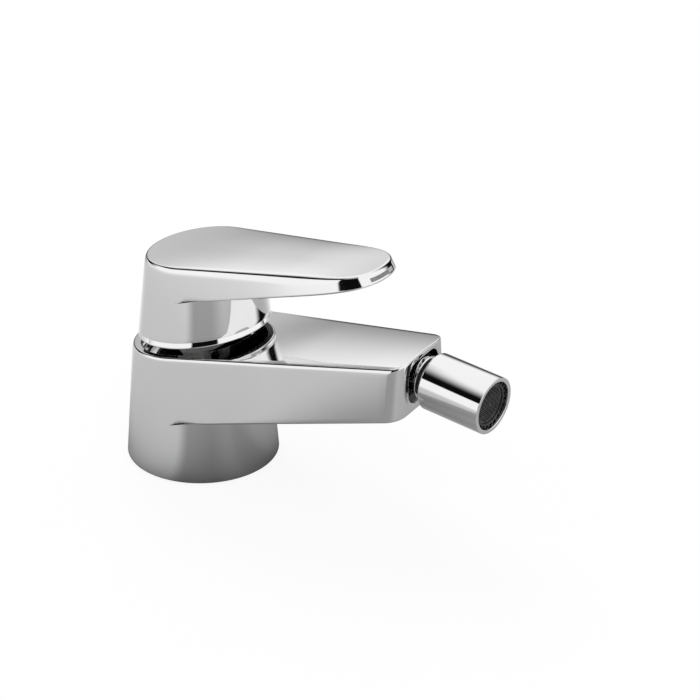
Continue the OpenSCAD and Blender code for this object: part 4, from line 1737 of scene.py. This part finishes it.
    @staticmethod
    def only_mirrored(piece: bpy.types.Object) -> None:
        """Keeps a card out of the camera's view and out of the soft light."""
        piece.visible_camera = False
        piece.visible_diffuse = False
        piece.visible_shadow = False

    def tent(self) -> None:
        """Dome of cards: overhead light that reaches low behind, two side cards and a dimmer one in front."""
        material, graph = new_material("tent_cards")
        place = graph.add("ShaderNodeTexCoord", out="Object")
        way = graph.add("ShaderNodeVectorMath", {"operation": "NORMALIZE"}, {0: place})
        x, y, z = (graph.add("ShaderNodeSeparateXYZ", None, {0: way}, out=i) for i in range(3))
        height = z.maths("ARCSINE") * math.degrees(1)
        swing = self.swing(x, y)
        rear = swing.maths("ABSOLUTE").step(*self.tent_rear)
        low, high = (ahead + (behind - ahead) * rear
                     for ahead, behind in zip(self.over_height, self.over_height_rear))
        over = height.step(low, high)
        left = self.left_card.mask(swing) * (1 - height.step(*self.left_top))
        front = self.front_level * self.front_card.mask(swing) * height.step(*self.front_height)
        level = over
        for card in (left, self.right_card.mask(swing), front):
            level = level.maths("MAXIMUM", card)
        tone = graph.mix(BLACK, WHITE, self.tent_dark + level)
        light = graph.add("ShaderNodeEmission", None, {"Color": tone})
        graph.add("ShaderNodeOutputMaterial", None, {"Surface": light})
        work = bmesh.new()
        bmesh.ops.create_uvsphere(work, u_segments=64, v_segments=48, radius=self.tent_r)
        piece = self.stage_piece("tent", work, self.tent_z)
        piece.data.shade_smooth()
        piece.data.materials.append(material)
        self.only_mirrored(piece)

    def lamp(self, name: str, place: Point, size: float, power: float) -> None:
        """Adds a soft area lamp that looks at the part and that mirrors don't show.

        Args:
            name: Name of the lamp.
            place: Where it stands.
            size: Width of the lamp.
            power: Its power, in watts.
        """
        data = bpy.data.lights.new(name, "AREA")
        data.size = size
        data.energy = power
        lamp = put(name, data)
        lamp.location = place
        aim = Vector(self.lamp_aim) - Vector(place)
        lamp.rotation_euler = aim.to_track_quat("-Z", "Y").to_euler()
        lamp.visible_glossy = False

    def build(self) -> None:
        """Sets up the whole studio."""
        bpy.context.scene.view_settings.view_transform = "Standard"
        self.camera()
        self.world()
        self.floor()
        self.ground_card()
        self.tent()
        self.lamp("key_lamp", place=(-0.5, 0.5, 1.0), size=0.7, power=6.0)
        self.lamp("fill_lamp", place=(0.7, -0.7, 0.8), size=0.9, power=3.0)


def dress_frame(nodes: Dict[str, bpy.types.Object]) -> None:
    """Gives every solid that still shows its finish.

    Args:
        nodes: The frame's solids by name.
    """
    for name, finish in CAD_FINISHES.items():
        mesh = nodes[name].data
        mesh.materials.clear()
        mesh.materials.append(finish.build())
        LOG.info("%s: %s", name, finish.name)


def main() -> None:
    """Loads the frame, builds every sub-assembly in order and sets up the studio."""
    logging.basicConfig(level=logging.INFO, format="%(name)s %(message)s")
    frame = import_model()
    layout = Layout()
    Studio().build()
    for assembly in (MixerBody, LeverHandle, CoverRing, SpoutSocket, Nozzle):
        assembly(layout).build()
    dress_frame(frame["nodes"])


if __name__ == "__main__":
    main()
